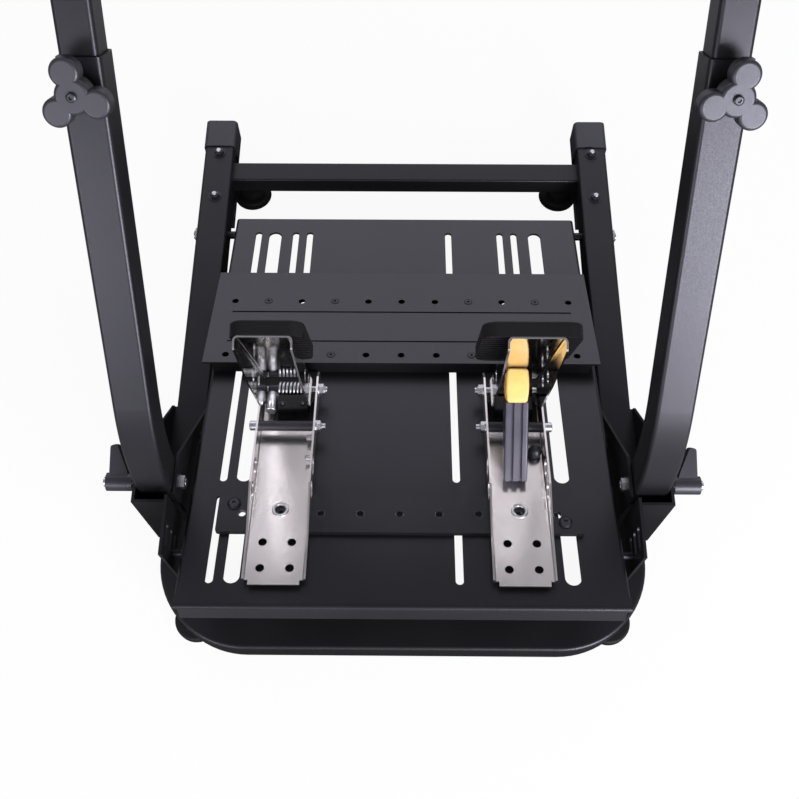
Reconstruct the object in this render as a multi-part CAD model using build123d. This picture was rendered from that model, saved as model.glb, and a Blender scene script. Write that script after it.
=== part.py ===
from build123d import *
import math
import os

# Base frame: a square tube bent to a U, open to the driver's end
TUBE = 38.0
TUBE_WALL = 2.0
TUBE_CORNER = 4.0
RAIL_X = 250.0
BASE_LENGTH = 709.0
U_RADIUS = 81.0
FOOT_HEIGHT = 22.0
FOOT_R = 25.0
FOOT_STEM_R = 16.0
FOOT_LIP = 11.0
FOOT_EDGE = 3.0
NEAR_FOOT_OUT = 6.0
FAR_FOOT_X = 210.0
FAR_FOOT_INSET = 78.5
CROSS_HEIGHT = 26.0
CROSS_DEPTH = 29.0
CROSS_WALL = 2.0
CROSS_CORNER = 2.5
CROSS_INSET = 74.5
TAB_T = 3.0
TAB_NEAR_INSET = 146.5
TAB_FAR_INSET = 45.5
TAB_INNER_X = 228.0
TAB_OUTER_X = 267.0
CAP_WALL = 2.0
CAP_LENGTH = 43.0

# Pedal plate: a slotted sheet that hinges at its far end
PLATE_WIDTH = 440.0
PLATE_LENGTH = 559.0
PLATE_T = 3.0
PLATE_BEND = 4.5
PLATE_TILT = 14.63
PLATE_NEAR_Y = -338.7
PLATE_NEAR_Z = 190.7
LIP_DEPTH = 22.0
FLANGE_DEPTH = 34.0
FLANGE_SETBACK = 14.0
PLATE_PIVOT_INSET = 16.0
PLATE_PIVOT_DROP = 14.0
PLATE_PIN_R = 5.0
PLATE_PIN_IN = 8.0
PLATE_PIN_OUT = 6.0
SLOT_NARROW = 8.0
SLOT_WIDE = 16.0
SLOT_COLUMNS = (-188.0, -166.5, -140.0, -122.0, 56.0, 122.0, 140.0, 166.5)
WIDE_COLUMN_X = 166.5
INNER_COLUMN_X = (122.0, 140.0)
SLOT_SPANS = ((26.0, 127.0), (145.0, 410.0), (428.0, 533.0))

# Heel plate and adapter bar with their rows of holes
HOLE_PITCH = 40.0
HOLE_R = 4.0
HEEL_WIDTH = 450.0
HEEL_X = -3.0
HEEL_NEAR_V = 296.0
HEEL_LENGTH = 160.0
HEEL_T = 2.5
HEEL_RISE = 16.0
HEEL_FOLD_INSET = 6.0
HEEL_HOLES = 11
HEEL_ROWS = (13.0, 106.0)
HEEL_GROOVES = (35.0, 86.0)
GROOVE_END = 24.0
GROOVE_WIDTH = 4.0
GROOVE_DEPTH = 1.0
BAR_LENGTH = 370.0
BAR_WIDTH = 44.0
BAR_T = 5.0
BAR_EDGE = 3.0
BAR_V = 103.0
BAR_X = -3.0
BAR_HOLES = 9

# Pedal bases: shallow channels, heights taken from the pedal plate's top face
THROTTLE_X = -124.0
BRAKE_X = 118.5
CHANNEL_WIDTH = 62.0
CHANNEL_T = 2.0
CHANNEL_BEND = 3.5
CHANNEL_NEAR_V = 26.0
CHANNEL_FAR_V = 277.0
CHANNEL_TAB_WIDTH = 50.0
CHANNEL_TAB = 5.0
WALL_NEAR_H = 9.5
WALL_RISE_V = 72.0
WALL_RISE_H = 13.0
WALL_FULL_V = 124.0
WALL_FULL_H = 31.0
WALL_DROP = 9.0
WALL_DROP_V = 14.0
WALL_HOLE_R = 9.0
WALL_HOLES = ((124.0, 17.0), (152.0, 18.5))
FLOOR_END_V = 244.0
BASE_PAD_R = 6.0
BASE_PAD_X = 12.0
BASE_PAD_V = 236.0
BIG_HOLE_R = 6.5
BIG_HOLE_V = 106.0
SMALL_HOLE_R = 4.3
SMALL_PITCH = 29.0
SMALL_V = 53.5
PIVOT_V = 254.0
PIVOT_H = 19.0
PIVOT_R = 4.0
PIN_END = 5.0
ROLLER_V = 203.0
ROLLER_H = 20.0
ROLLER_R = 5.5
SENSOR_WIDTH = 33.0
SENSOR_SHIFT = 4.5
SENSOR_NEAR_V = 224.0
SENSOR_FAR_V = 243.0
SENSOR_H = 24.0
SENSOR_EDGE = 1.0
SPRING_R = 8.0
SPRING_LENGTH = 32.0
STOP_WIDTH = 42.0
SLEEVE_LENGTH = 44.0

# Pedal arms: U sections, drawn upright from their pivot, then leaned to the near side
ARM_LEAN = 29.7
ARM_WIDTH = 53.0
ARM_T = 1.8
ARM_BEND = 5.0
ARM_TIP_R = 4.0
ARM_BACK = 10.0
ARM_TOP = 221.0
ARM_WEB_LOW = 32.0
ARM_TOP_DEPTH = 12.5
ARM_MID = 131.0
ARM_MID_DEPTH = 28.0
ARM_LOW = 50.0
ARM_LOW_DEPTH = 36.0
ARM_HEEL = 34.0
ARM_HEEL_DEPTH = 31.0
ARM_BOSS_R = 9.0
ARM_HOLE_R = 6.5
ARM_HOLES = ((-2.0, 70.0), (-4.0, 106.0))
PAD_T = 14.0
PAD_HEIGHT = 108.0
PAD_OVER = 2.0
PAD_CORNER = 14.0
PAD_EDGE = 3.0
PAD_RIBS = 12
PAD_RIB_PITCH = 8.0
PAD_RIB_GAP = 3.5
PAD_RIB_DEPTH = 4.0
THROTTLE_PAD_WIDTH = 67.0
BRAKE_PAD_WIDTH = 90.0
THROTTLE_PAD_SHIFT = 2.5
BRAKE_PAD_SHIFT = -3.5

# Brake strut: a slotted bar that rises to the arm, with a soft block at its upper end
STRUT_X = 115.5
STRUT_FOOT_V = 141.0
STRUT_ANGLE = 46.8
STRUT_WIDTH = 24.0
STRUT_DEPTH = 22.0
STRUT_START = 3.5
STRUT_BAR = 85.0
STRUT_GROOVE = 3.6
STRUT_GROOVE_X = 4.5
BLOCK_WIDTH = 22.0
BLOCK_DEPTH = 24.0
BLOCK_REACH = 150.0
BLOCK_EDGE = 2.0
BLOCK_SWELL = 1.5
BLOCK_SWELL_LENGTH = 24.0

# Uprights, brackets and levers
UPRIGHT = 36.0
UPRIGHT_X = 251.0
POST_LEAN = 36.0
BEND_RADIUS = 195.0
FOLD_Y = -202.0
FOLD_Z = 160.0
UPRIGHT_BELOW = 21.0
UPRIGHT_BEVEL = 12.0
CORNER_Z = 231.8
UPRIGHT_LENGTH = 377.0
BRACKET_T = 3.0
WALL_NEAR_Y = -290.0
WALL_X = 233.0
WEB_Y = -229.0
BRACKET_TOP_Z = 185.0
WALL_TOP_Z = 200.0
CHEEK_BACK = 22.0
CHEEK_KNEE_Y = -109.0
CHEEK_KNEE_Z = 106.0
CHEEK_FAR_Y = -73.0
CHEEK_FOOT_Z = 66.0
ADJUST_LENGTH = 24.0
ADJUST_WIDTH = 9.0
ADJUST_Y = -267.0
ADJUST_Z = (150.0, 168.0, 186.0)
FOLD_PIN_R = 4.0
FOLD_PIN_HEAD = 2.0
LEVER_HUB_R = 9.5
LEVER_HUB_START = 280.0
LEVER_HUB_LENGTH = 27.0
LEVER_END = 3.0
LEVER_ARM = 39.0
LEVER_ROOT = 12.0
LEVER_ROOT_IN = 5.0
LEVER_TIP = 7.0
LEVER_TIP_IN = 5.0
LEVER_TIP_R = 3.0
LEVER_ARM_T = 11.0
LEVER_TILT = 64.0

# Telescoping posts, knobs and wheel deck
POST_WALL = 2.0
POST_INSERT = 200.0
POST_OUT = 196.0
KNOB_DOWN = 24.0
KNOB_TURN = 12.0
KNOB_BOSS_R = 9.0
KNOB_BOSS = 11.0
KNOB_STUD_R = 4.0
KNOB_HUB_R = 14.0
KNOB_LOBE_R = 11.5
KNOB_LOBE_OFFSET = 18.0
KNOB_LOBES = 3
KNOB_T = 16.0
KNOB_STEP = 3.0
DECK_WIDTH = 300.0
DECK_DEPTH = 190.0
DECK_T = 4.0
DECK_BEND = 6.0
DECK_LIP = 16.0
DECK_HOLE_R = 3.3
DECK_SPACING_X = 120.0
DECK_SPACING_Y = 80.0
BEAM = 30.0
BEAM_WALL = 2.0

# Named clearances
PIN_CLEAR = 0.5
FACE_CLEAR = 1.0
BRACKET_GAP = 1.0
SLIDE_GAP = 0.4
CAP_GAP = 0.2
BLOCK_GAP = 1.2
CUT = 1.0

# Sizes that follow from the ones above
HALF = TUBE / 2
HALF_BASE = BASE_LENGTH / 2
RAIL_BOTTOM = FOOT_HEIGHT
RAIL_TOP = FOOT_HEIGHT + TUBE
RAIL_MID = FOOT_HEIGHT + HALF
NEAR_Y = HALF - HALF_BASE
RAIL_END = HALF_BASE - CAP_WALL
UP_HALF = UPRIGHT / 2
CHEEK_IN = UPRIGHT_X - UP_HALF - BRACKET_GAP
CHEEK_OUT = UPRIGHT_X + UP_HALF + BRACKET_GAP
POST_TUBE = UPRIGHT - 2 * TUBE_WALL - 2 * SLIDE_GAP
HALF_PLATE = PLATE_WIDTH / 2
PLATE_PIVOT_V = PLATE_LENGTH - PLATE_PIVOT_INSET
FLOOR_H = BAR_T + CHANNEL_T
INNER_HALF = CHANNEL_WIDTH / 2 - CHANNEL_T
SIDES = {"left": -1.0, "right": 1.0}

os.makedirs("parts", exist_ok=True)


def save(solid, node):
    export_step(solid, "parts/" + node + ".step")


def block(x0, x1, y0, y1, z0, z1):
    size = Box(abs(x1 - x0), abs(y1 - y0), abs(z1 - z0))
    return Pos((x0 + x1) / 2, (y0 + y1) / 2, (z0 + z1) / 2) * size


def rod_x(x0, x1, y, z, r):
    return Pos((x0 + x1) / 2, y, z) * Rot(0, 90, 0) * Cylinder(r, abs(x1 - x0))


def rod_z(z0, z1, x, y, r):
    return Pos(x, y, (z0 + z1) / 2) * Cylinder(r, abs(z1 - z0))


def rounded_disc(z0, z1, x, y, r, edge):
    return fillet(rod_z(z0, z1, x, y, r).edges().group_by(Axis.Z)[-1], edge)


def slot_z(x, width, y0, y1, depth):
    half = width / 2
    shape = block(x - half, x + half, y0 + half, y1 - half, -depth, depth)
    for end in (y0 + half, y1 - half):
        shape += rod_z(-depth, depth, x, end, half)
    return shape


def slot_x(x0, x1, y, z, length, width):
    reach = (length - width) / 2
    shape = block(x0, x1, y - reach, y + reach, z - width / 2, z + width / 2)
    for end in (y - reach, y + reach):
        shape += rod_x(x0, x1, end, z, width / 2)
    return shape


def side_sheet(x0, thick, outline):
    """A flat sheet square to X. Its outline is in Y and Z, and thick is signed."""
    sheet = extrude(make_face(Polyline(list(outline), close=True)), abs(thick))
    low = min(x0, x0 + thick)
    return Plane((low, 0, 0), x_dir=(0, 1, 0), z_dir=(1, 0, 0)).location * sheet


def folded_tray(width, length, depth, sheet, bend):
    """A sheet with both long sides folded down. Its top face is at zero height."""
    outer = Pos(0, -depth / 2) * Rectangle(width, depth)
    outer = fillet(outer.vertices().group_by(Axis.Y)[-1], bend)
    room = Pos(0, -sheet - depth / 2) * Rectangle(width - 2 * sheet, depth)
    room = fillet(room.vertices().group_by(Axis.Y)[-1], bend - sheet)
    return extrude(Plane.XZ * (outer - room), -length)


def bent_tube(start, wire, size, wall, corner):
    """A square tube that follows a wire from its start plane."""
    skin = sweep(start * RectangleRounded(size, size, corner), path=wire)
    room = size - 2 * wall
    return skin - sweep(start * RectangleRounded(room, room, corner - wall), path=wire)


def straight_tube(length, size, depth, wall, corner):
    """A rectangular tube along Z from zero height."""
    room = RectangleRounded(size - 2 * wall, depth - 2 * wall, max(corner - wall, 0.5))
    return extrude(RectangleRounded(size, depth, corner) - room, length)


tilt = math.radians(PLATE_TILT)
plate_plane = Plane(
    (0, PLATE_NEAR_Y, PLATE_NEAR_Z), x_dir=(1, 0, 0), z_dir=(0, math.sin(tilt), math.cos(tilt))
)


def on_plate(solid):
    return plate_plane.location * solid


# Base tube
with BuildLine() as base_path:
    Line((-RAIL_X, RAIL_END), (-RAIL_X, NEAR_Y + U_RADIUS))
    RadiusArc((-RAIL_X, NEAR_Y + U_RADIUS), (-RAIL_X + U_RADIUS, NEAR_Y), -U_RADIUS)
    Line((-RAIL_X + U_RADIUS, NEAR_Y), (RAIL_X - U_RADIUS, NEAR_Y))
    RadiusArc((RAIL_X - U_RADIUS, NEAR_Y), (RAIL_X, NEAR_Y + U_RADIUS), -U_RADIUS)
    Line((RAIL_X, NEAR_Y + U_RADIUS), (RAIL_X, RAIL_END))
start = Plane((-RAIL_X, RAIL_END, 0), x_dir=(1, 0, 0), z_dir=(0, -1, 0))
base_tube = Pos(0, 0, RAIL_MID) * bent_tube(start, base_path.wire(), TUBE, TUBE_WALL, TUBE_CORNER)
pivot_y = PLATE_NEAR_Y + PLATE_PIVOT_V * math.cos(tilt) - PLATE_PIVOT_DROP * math.sin(tilt)
pivot_z = PLATE_NEAR_Z - PLATE_PIVOT_V * math.sin(tilt) - PLATE_PIVOT_DROP * math.cos(tilt)
for s in SIDES.values():
    base_tube -= rod_x(s * (RAIL_X - TUBE), s * (RAIL_X + TUBE), pivot_y, pivot_z, PLATE_PIN_R + PIN_CLEAR)
save(base_tube, "base_tube")

# Cross tube with a bolted tab under each rail
cross_span = 2 * (RAIL_X - HALF)
cross = straight_tube(cross_span, CROSS_HEIGHT, CROSS_DEPTH, CROSS_WALL, CROSS_CORNER)
cross = Rot(0, 90, 0) * Pos(0, 0, -cross_span / 2) * cross
cross = Pos(0, HALF_BASE - CROSS_INSET, RAIL_BOTTOM + CROSS_HEIGHT / 2) * cross
tab_near = HALF_BASE - TAB_NEAR_INSET
tab_far = HALF_BASE - TAB_FAR_INSET
for s in SIDES.values():
    cross += block(s * TAB_INNER_X, s * TAB_OUTER_X, tab_near, tab_far, RAIL_BOTTOM - TAB_T, RAIL_BOTTOM)
save(cross, "cross_tube")


def end_cap():
    size = TUBE + 2 * CAP_WALL
    cap = Pos(0, -CAP_LENGTH / 2, 0) * Box(size, CAP_LENGTH, size)
    cap = fillet(cap.edges().filter_by(Axis.Y), TUBE_CORNER + CAP_WALL)
    cap = chamfer(cap.faces().sort_by(Axis.Y)[-1].edges(), CAP_WALL / 2)
    room = TUBE + 2 * CAP_GAP
    space = Pos(0, -CAP_WALL - CAP_LENGTH / 2, 0) * Box(room, CAP_LENGTH, room)
    return cap - fillet(space.edges().filter_by(Axis.Y), TUBE_CORNER)


def foot(x, y):
    pad = rounded_disc(0, FOOT_LIP, x, y, FOOT_R, FOOT_EDGE)
    return pad + rod_z(FOOT_LIP - FOOT_EDGE, FOOT_HEIGHT, x, y, FOOT_STEM_R)


corner_cut = U_RADIUS * (1 - math.sqrt(0.5))
for side, s in SIDES.items():
    save(Pos(s * RAIL_X, HALF_BASE, RAIL_MID) * end_cap(), "end_cap_" + side)
    save(foot(s * (RAIL_X - corner_cut + NEAR_FOOT_OUT), NEAR_Y + corner_cut), "foot_near_" + side)
    save(foot(s * FAR_FOOT_X, HALF_BASE - FAR_FOOT_INSET), "foot_far_" + side)

# Pedal plate with its lip, side flanges and slots
plate = folded_tray(PLATE_WIDTH, PLATE_LENGTH - FLANGE_SETBACK, FLANGE_DEPTH, PLATE_T, PLATE_BEND)
plate = Pos(0, FLANGE_SETBACK, 0) * plate
lip = Rot(0, 0, 90) * folded_tray(2 * FLANGE_SETBACK, PLATE_WIDTH, LIP_DEPTH, PLATE_T, PLATE_BEND)
lip = Pos(HALF_PLATE, FLANGE_SETBACK, 0) * lip
lip -= block(-PLATE_WIDTH, PLATE_WIDTH, FLANGE_SETBACK, 2 * FLANGE_SETBACK + CUT, -FLANGE_DEPTH, CUT)
for s in SIDES.values():
    inner = s * (HALF_PLATE - PLATE_BEND)
    lip -= block(inner, s * (HALF_PLATE + CUT), -CUT, FLANGE_SETBACK + CUT, -FLANGE_DEPTH, -PLATE_BEND)
plate += lip
for x in SLOT_COLUMNS:
    width = SLOT_WIDE if abs(x) == WIDE_COLUMN_X else SLOT_NARROW
    for v0, v1 in SLOT_SPANS[1:] if abs(x) in INNER_COLUMN_X else SLOT_SPANS:
        plate -= slot_z(x, width, v0, v1, 2 * PLATE_T)
plate -= rod_x(-HALF_PLATE - CUT, HALF_PLATE + CUT, PLATE_PIVOT_V, -PLATE_PIVOT_DROP, PLATE_PIN_R)
save(on_plate(plate), "pedal_plate")
for side, s in SIDES.items():
    inner_end = s * (HALF_PLATE - PLATE_PIN_IN)
    outer_end = s * (RAIL_X + HALF + PLATE_PIN_OUT)
    pin = rod_x(inner_end, outer_end, PLATE_PIVOT_V, -PLATE_PIVOT_DROP, PLATE_PIN_R)
    save(on_plate(pin), "plate_pin_" + side)


def row_x(centre, count, i):
    return centre + (i - (count - 1) / 2) * HOLE_PITCH


# Heel plate: its near edge is lifted on a folded flange
heel = Pos(HEEL_X, HEEL_LENGTH / 2, -HEEL_T / 2) * Box(HEEL_WIDTH, HEEL_LENGTH, HEEL_T)
for v in HEEL_ROWS:
    for i in range(HEEL_HOLES):
        heel -= rod_z(-2 * HEEL_T, HEEL_T, row_x(HEEL_X, HEEL_HOLES, i), v, HOLE_R)
reach = HEEL_WIDTH / 2 - GROOVE_END
for v in HEEL_GROOVES:
    v0 = v - GROOVE_WIDTH / 2
    heel -= block(HEEL_X - reach, HEEL_X + reach, v0, v0 + GROOVE_WIDTH, -GROOVE_DEPTH, GROOVE_DEPTH)
heel_drop = math.degrees(math.asin((HEEL_RISE - HEEL_T) / HEEL_LENGTH))
heel = Pos(0, HEEL_NEAR_V, HEEL_RISE) * Rot(-heel_drop, 0, 0) * heel
fold_half = HALF_PLATE - HEEL_FOLD_INSET
fold = block(
    HEEL_X - fold_half, HEEL_X + fold_half, HEEL_NEAR_V, HEEL_NEAR_V + HEEL_T, 0, HEEL_RISE - HEEL_T / 2
)
under = block(-HEEL_WIDTH, HEEL_WIDTH, 0, PLATE_LENGTH, -FLANGE_DEPTH, 0)
save(on_plate(heel + fold - under), "heel_plate")

# Adapter bar
bar = Pos(BAR_X, BAR_V, BAR_T / 2) * Box(BAR_LENGTH, BAR_WIDTH, BAR_T)
bar = fillet(bar.edges().filter_by(Axis.Z), BAR_EDGE)
for i in range(BAR_HOLES):
    bar -= rod_z(-CUT, BAR_T + CUT, row_x(BAR_X, BAR_HOLES, i), BAR_V, HOLE_R)
save(on_plate(bar), "adapter_bar")


# Pedal bases
def pedal_base():
    """A folded channel cut to its side outline, with two pads and a floor that ends short of the pivot."""
    half = CHANNEL_WIDTH / 2
    tab = CHANNEL_TAB_WIDTH / 2
    skin = block(-half, half, CHANNEL_NEAR_V, CHANNEL_FAR_V, BAR_T, 2 * WALL_FULL_H)
    skin = fillet(skin.edges().filter_by(Axis.Y).group_by(Axis.Z)[0], CHANNEL_BEND)
    room = block(
        -INNER_HALF, INNER_HALF, CHANNEL_NEAR_V - CUT, CHANNEL_FAR_V + CUT, FLOOR_H, 2 * WALL_FULL_H + CUT
    )
    room = fillet(room.edges().filter_by(Axis.Y).group_by(Axis.Z)[0], CHANNEL_BEND - CHANNEL_T)
    outline = (
        (CHANNEL_NEAR_V, BAR_T), (CHANNEL_NEAR_V, WALL_NEAR_H), (WALL_RISE_V, WALL_RISE_H),
        (WALL_FULL_V, WALL_FULL_H), (CHANNEL_FAR_V - WALL_DROP_V, WALL_FULL_H),
        (CHANNEL_FAR_V, WALL_FULL_H - WALL_DROP), (CHANNEL_FAR_V, BAR_T),
    )
    body = (skin - room) & side_sheet(-half, CHANNEL_WIDTH, outline)
    body += block(-tab, tab, CHANNEL_NEAR_V - CHANNEL_TAB, CHANNEL_NEAR_V + CUT, BAR_T, FLOOR_H)
    for s in SIDES.values():
        body += rod_z(0, BAR_T + CHANNEL_T / 2, s * BASE_PAD_X, BASE_PAD_V, BASE_PAD_R)
    body -= rod_z(0, 2 * FLOOR_H, 0, BIG_HOLE_V, BIG_HOLE_R)
    for dx in (-0.5, 0.5):
        for dv in (-0.5, 0.5):
            body -= rod_z(0, 2 * FLOOR_H, dx * SMALL_PITCH, SMALL_V + dv * SMALL_PITCH, SMALL_HOLE_R)
    for v, h in WALL_HOLES:
        body -= rod_x(-half - CUT, half + CUT, v, h, WALL_HOLE_R)
    body -= block(-INNER_HALF, INNER_HALF, FLOOR_END_V, CHANNEL_FAR_V + CUT, BAR_T - CUT, FLOOR_H + CUT)
    return body - rod_x(-half - CUT, half + CUT, PIVOT_V, PIVOT_H, PIVOT_R)


def leaned(solid):
    return Pos(0, PIVOT_V, PIVOT_H) * Rot(ARM_LEAN, 0, 0) * solid


def pedal_arm():
    """A folded U section cut to its side outline, with a boss at the pivot."""
    half = ARM_WIDTH / 2
    inner = half - ARM_T
    reach = ARM_LOW_DEPTH + ARM_BACK
    skin = block(-half, half, -reach, ARM_BACK, -ARM_BOSS_R, ARM_TOP)
    skin = fillet(skin.edges().filter_by(Axis.Z).group_by(Axis.Y)[-1], ARM_BEND)
    room = block(-inner, inner, -reach - CUT, ARM_BACK - ARM_T, -ARM_BOSS_R - CUT, ARM_TOP + CUT)
    room = fillet(room.edges().filter_by(Axis.Z).group_by(Axis.Y)[-1], ARM_BEND - ARM_T)
    outline = (
        (ARM_BACK, ARM_TOP), (ARM_BACK - ARM_TOP_DEPTH, ARM_TOP), (ARM_BACK - ARM_MID_DEPTH, ARM_MID),
        (ARM_BACK - ARM_LOW_DEPTH, ARM_LOW), (ARM_BACK - ARM_HEEL_DEPTH, ARM_HEEL),
        (-ARM_BOSS_R, 0), (ARM_BOSS_R, 0), (ARM_BACK, ARM_WEB_LOW),
    )
    side = side_sheet(-half, ARM_WIDTH, outline)
    side = fillet(side.edges().filter_by(Axis.X).sort_by(Axis.Z)[-2:].sort_by(Axis.Y)[0], ARM_TIP_R)
    side += rod_x(-half, half, 0, 0, ARM_BOSS_R)
    arm = (skin - room) & side
    arm -= block(-inner, inner, -reach, ARM_BACK + CUT, -ARM_BOSS_R - CUT, ARM_WEB_LOW)
    arm -= rod_x(-half - CUT, half + CUT, 0, 0, PIVOT_R + PIN_CLEAR)
    for u, w in ARM_HOLES:
        arm -= rod_x(-half - CUT, half + CUT, u, w, ARM_HOLE_R)
    return leaned(arm)


def pedal_pad(width, shift):
    """A moulded pad with ribs across its near side."""
    low = ARM_TOP + PAD_OVER - PAD_HEIGHT
    pad = block(shift - width / 2, shift + width / 2, ARM_BACK, ARM_BACK + PAD_T, low, low + PAD_HEIGHT)
    pad = fillet(pad.edges().filter_by(Axis.Y), PAD_CORNER)
    pad = fillet(pad.faces().sort_by(Axis.Y)[-1].edges(), PAD_EDGE)
    first = low + (PAD_HEIGHT - (PAD_RIBS - 1) * PAD_RIB_PITCH - PAD_RIB_GAP) / 2
    for i in range(PAD_RIBS):
        w = first + i * PAD_RIB_PITCH
        pad -= block(-width, width, ARM_BACK - CUT, ARM_BACK + PAD_RIB_DEPTH, w, w + PAD_RIB_GAP)
    return leaned(pad)


PEDALS = {
    "throttle": (THROTTLE_X, THROTTLE_PAD_WIDTH, THROTTLE_PAD_SHIFT),
    "brake": (BRAKE_X, BRAKE_PAD_WIDTH, BRAKE_PAD_SHIFT),
}
for name, (x, width, shift) in PEDALS.items():
    half = CHANNEL_WIDTH / 2
    save(on_plate(Pos(x, 0, 0) * pedal_base()), name + "_base")
    pin = rod_x(-half - PIN_END, half + PIN_END, PIVOT_V, PIVOT_H, PIVOT_R)
    save(on_plate(Pos(x, 0, 0) * pin), name + "_pin")
    roller = rod_x(-INNER_HALF, INNER_HALF, ROLLER_V, ROLLER_H, ROLLER_R)
    save(on_plate(Pos(x, 0, 0) * roller), name + "_roller")
    save(on_plate(Pos(x, 0, 0) * pedal_arm()), name + "_arm")
    save(on_plate(Pos(x, 0, 0) * pedal_pad(width, shift)), name + "_pad")



def pivot_sleeve(length):
    sleeve = rod_x(-length / 2, length / 2, PIVOT_V, PIVOT_H, SPRING_R)
    return sleeve - rod_x(-length, length, PIVOT_V, PIVOT_H, PIVOT_R)


def floor_block(width):
    """A block on the channel floor, hollowed to clear the sleeve."""
    body = block(-width / 2, width / 2, SENSOR_NEAR_V, SENSOR_FAR_V, FLOOR_H, SENSOR_H)
    body = chamfer(body.faces().sort_by(Axis.Z)[-1].edges(), SENSOR_EDGE)
    return body - rod_x(-width, width, PIVOT_V, PIVOT_H, SPRING_R + FACE_CLEAR)


save(on_plate(Pos(THROTTLE_X, 0, 0) * pivot_sleeve(SPRING_LENGTH)), "throttle_spring")
save(on_plate(Pos(THROTTLE_X + SENSOR_SHIFT, 0, 0) * floor_block(SENSOR_WIDTH)), "throttle_sensor")
save(on_plate(Pos(BRAKE_X, 0, 0) * pivot_sleeve(SLEEVE_LENGTH)), "brake_sleeve")
save(on_plate(Pos(BRAKE_X, 0, 0) * floor_block(STOP_WIDTH)), "brake_stop")


# Brake strut
def on_strut(piece):
    return Pos(0, STRUT_FOOT_V, FLOOR_H) * Rot(STRUT_ANGLE - 90, 0, 0) * piece


strut = block(-STRUT_WIDTH / 2, STRUT_WIDTH / 2, -STRUT_DEPTH / 2, STRUT_DEPTH / 2, STRUT_START, STRUT_BAR)
strut = fillet(strut.edges().filter_by(Axis.Z), BLOCK_EDGE)
deep = STRUT_DEPTH / 2 - STRUT_GROOVE
for gx in (-STRUT_GROOVE_X, STRUT_GROOVE_X):
    for face in (-1, 1):
        strut -= block(
            gx - STRUT_GROOVE / 2, gx + STRUT_GROOVE / 2, face * deep, face * STRUT_DEPTH,
            -2 * STRUT_DEPTH, STRUT_BAR + CUT,
        )
strut = on_strut(strut) - block(-STRUT_WIDTH, STRUT_WIDTH, 0, PLATE_LENGTH, -2 * STRUT_DEPTH, FLOOR_H)
save(on_plate(Pos(STRUT_X, 0, 0) * strut), "brake_strut")
edge = BLOCK_WIDTH / 2
swell_mid = STRUT_BAR + BLOCK_SWELL_LENGTH / 2
swell_top = STRUT_BAR + BLOCK_SWELL_LENGTH
swelled = [
    Polyline((edge, swell_top), (edge, BLOCK_REACH), (-edge, BLOCK_REACH), (-edge, swell_top)),
    ThreePointArc((-edge, swell_top), (-edge - BLOCK_SWELL, swell_mid), (-edge, STRUT_BAR)),
    Line((-edge, STRUT_BAR), (edge, STRUT_BAR)),
    ThreePointArc((edge, STRUT_BAR), (edge + BLOCK_SWELL, swell_mid), (edge, swell_top)),
]
soft = on_strut(extrude(Plane.XZ * make_face(swelled), BLOCK_DEPTH / 2, both=True))
web_face = ARM_BACK - ARM_T - BLOCK_GAP
soft -= leaned(block(-STRUT_WIDTH, STRUT_WIDTH, web_face, PLATE_LENGTH, -ARM_TOP, 2 * ARM_TOP))
save(on_plate(Pos(STRUT_X, 0, 0) * soft), "brake_block")

# Uprights: straight, then bent to lean towards the driver
lean = math.radians(POST_LEAN)
tangent = BEND_RADIUS * math.tan(lean / 2)
upright_straight = UPRIGHT_LENGTH - tangent
bend_low = (FOLD_Y, CORNER_Z - tangent)
bend_top = (FOLD_Y + tangent * math.sin(lean), CORNER_Z + tangent * math.cos(lean))
along = (0.0, math.sin(lean), math.cos(lean))
front = (0.0, -math.cos(lean), math.sin(lean))
top_point = (bend_top[0] + upright_straight * along[1], bend_top[1] + upright_straight * along[2])


def lean_plane(x, distance):
    """A plane square to the leaning tube, at a distance up from the outer tube's top."""
    origin = (x, top_point[0] + distance * along[1], top_point[1] + distance * along[2])
    return Plane(origin, x_dir=(1, 0, 0), z_dir=along)


def upright(x):
    with BuildLine(Plane((x, 0, 0), x_dir=(0, 1, 0), z_dir=(1, 0, 0))) as path:
        Line((FOLD_Y, FOLD_Z - UPRIGHT_BELOW), bend_low)
        RadiusArc(bend_low, bend_top, BEND_RADIUS)
        Line(bend_top, top_point)
    start = Plane((x, FOLD_Y, FOLD_Z - UPRIGHT_BELOW), x_dir=(1, 0, 0), z_dir=(0, 0, 1))
    tube = bent_tube(start, path.wire(), UPRIGHT, TUBE_WALL, TUBE_CORNER)
    tube -= rod_x(x - UPRIGHT, x + UPRIGHT, FOLD_Y, FOLD_Z, FOLD_PIN_R + PIN_CLEAR)
    low = FOLD_Z - UPRIGHT_BELOW
    for edge in (FOLD_Y - UP_HALF, FOLD_Y + UP_HALF):
        corner = Pos(x, edge, low) * Rot(45, 0, 0)
        tube -= corner * Box(2 * UPRIGHT, math.sqrt(2) * UPRIGHT_BEVEL, math.sqrt(2) * UPRIGHT_BEVEL)
    at = Plane(lean_plane(x, -KNOB_DOWN).origin, x_dir=(1, 0, 0), z_dir=front).location
    tube += at * rod_z(UP_HALF - TUBE_WALL / 2, UP_HALF + KNOB_BOSS, 0, 0, KNOB_BOSS_R)
    return tube - at * rod_z(0, UP_HALF + 2 * KNOB_BOSS, 0, 0, KNOB_STUD_R + PIN_CLEAR)


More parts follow.
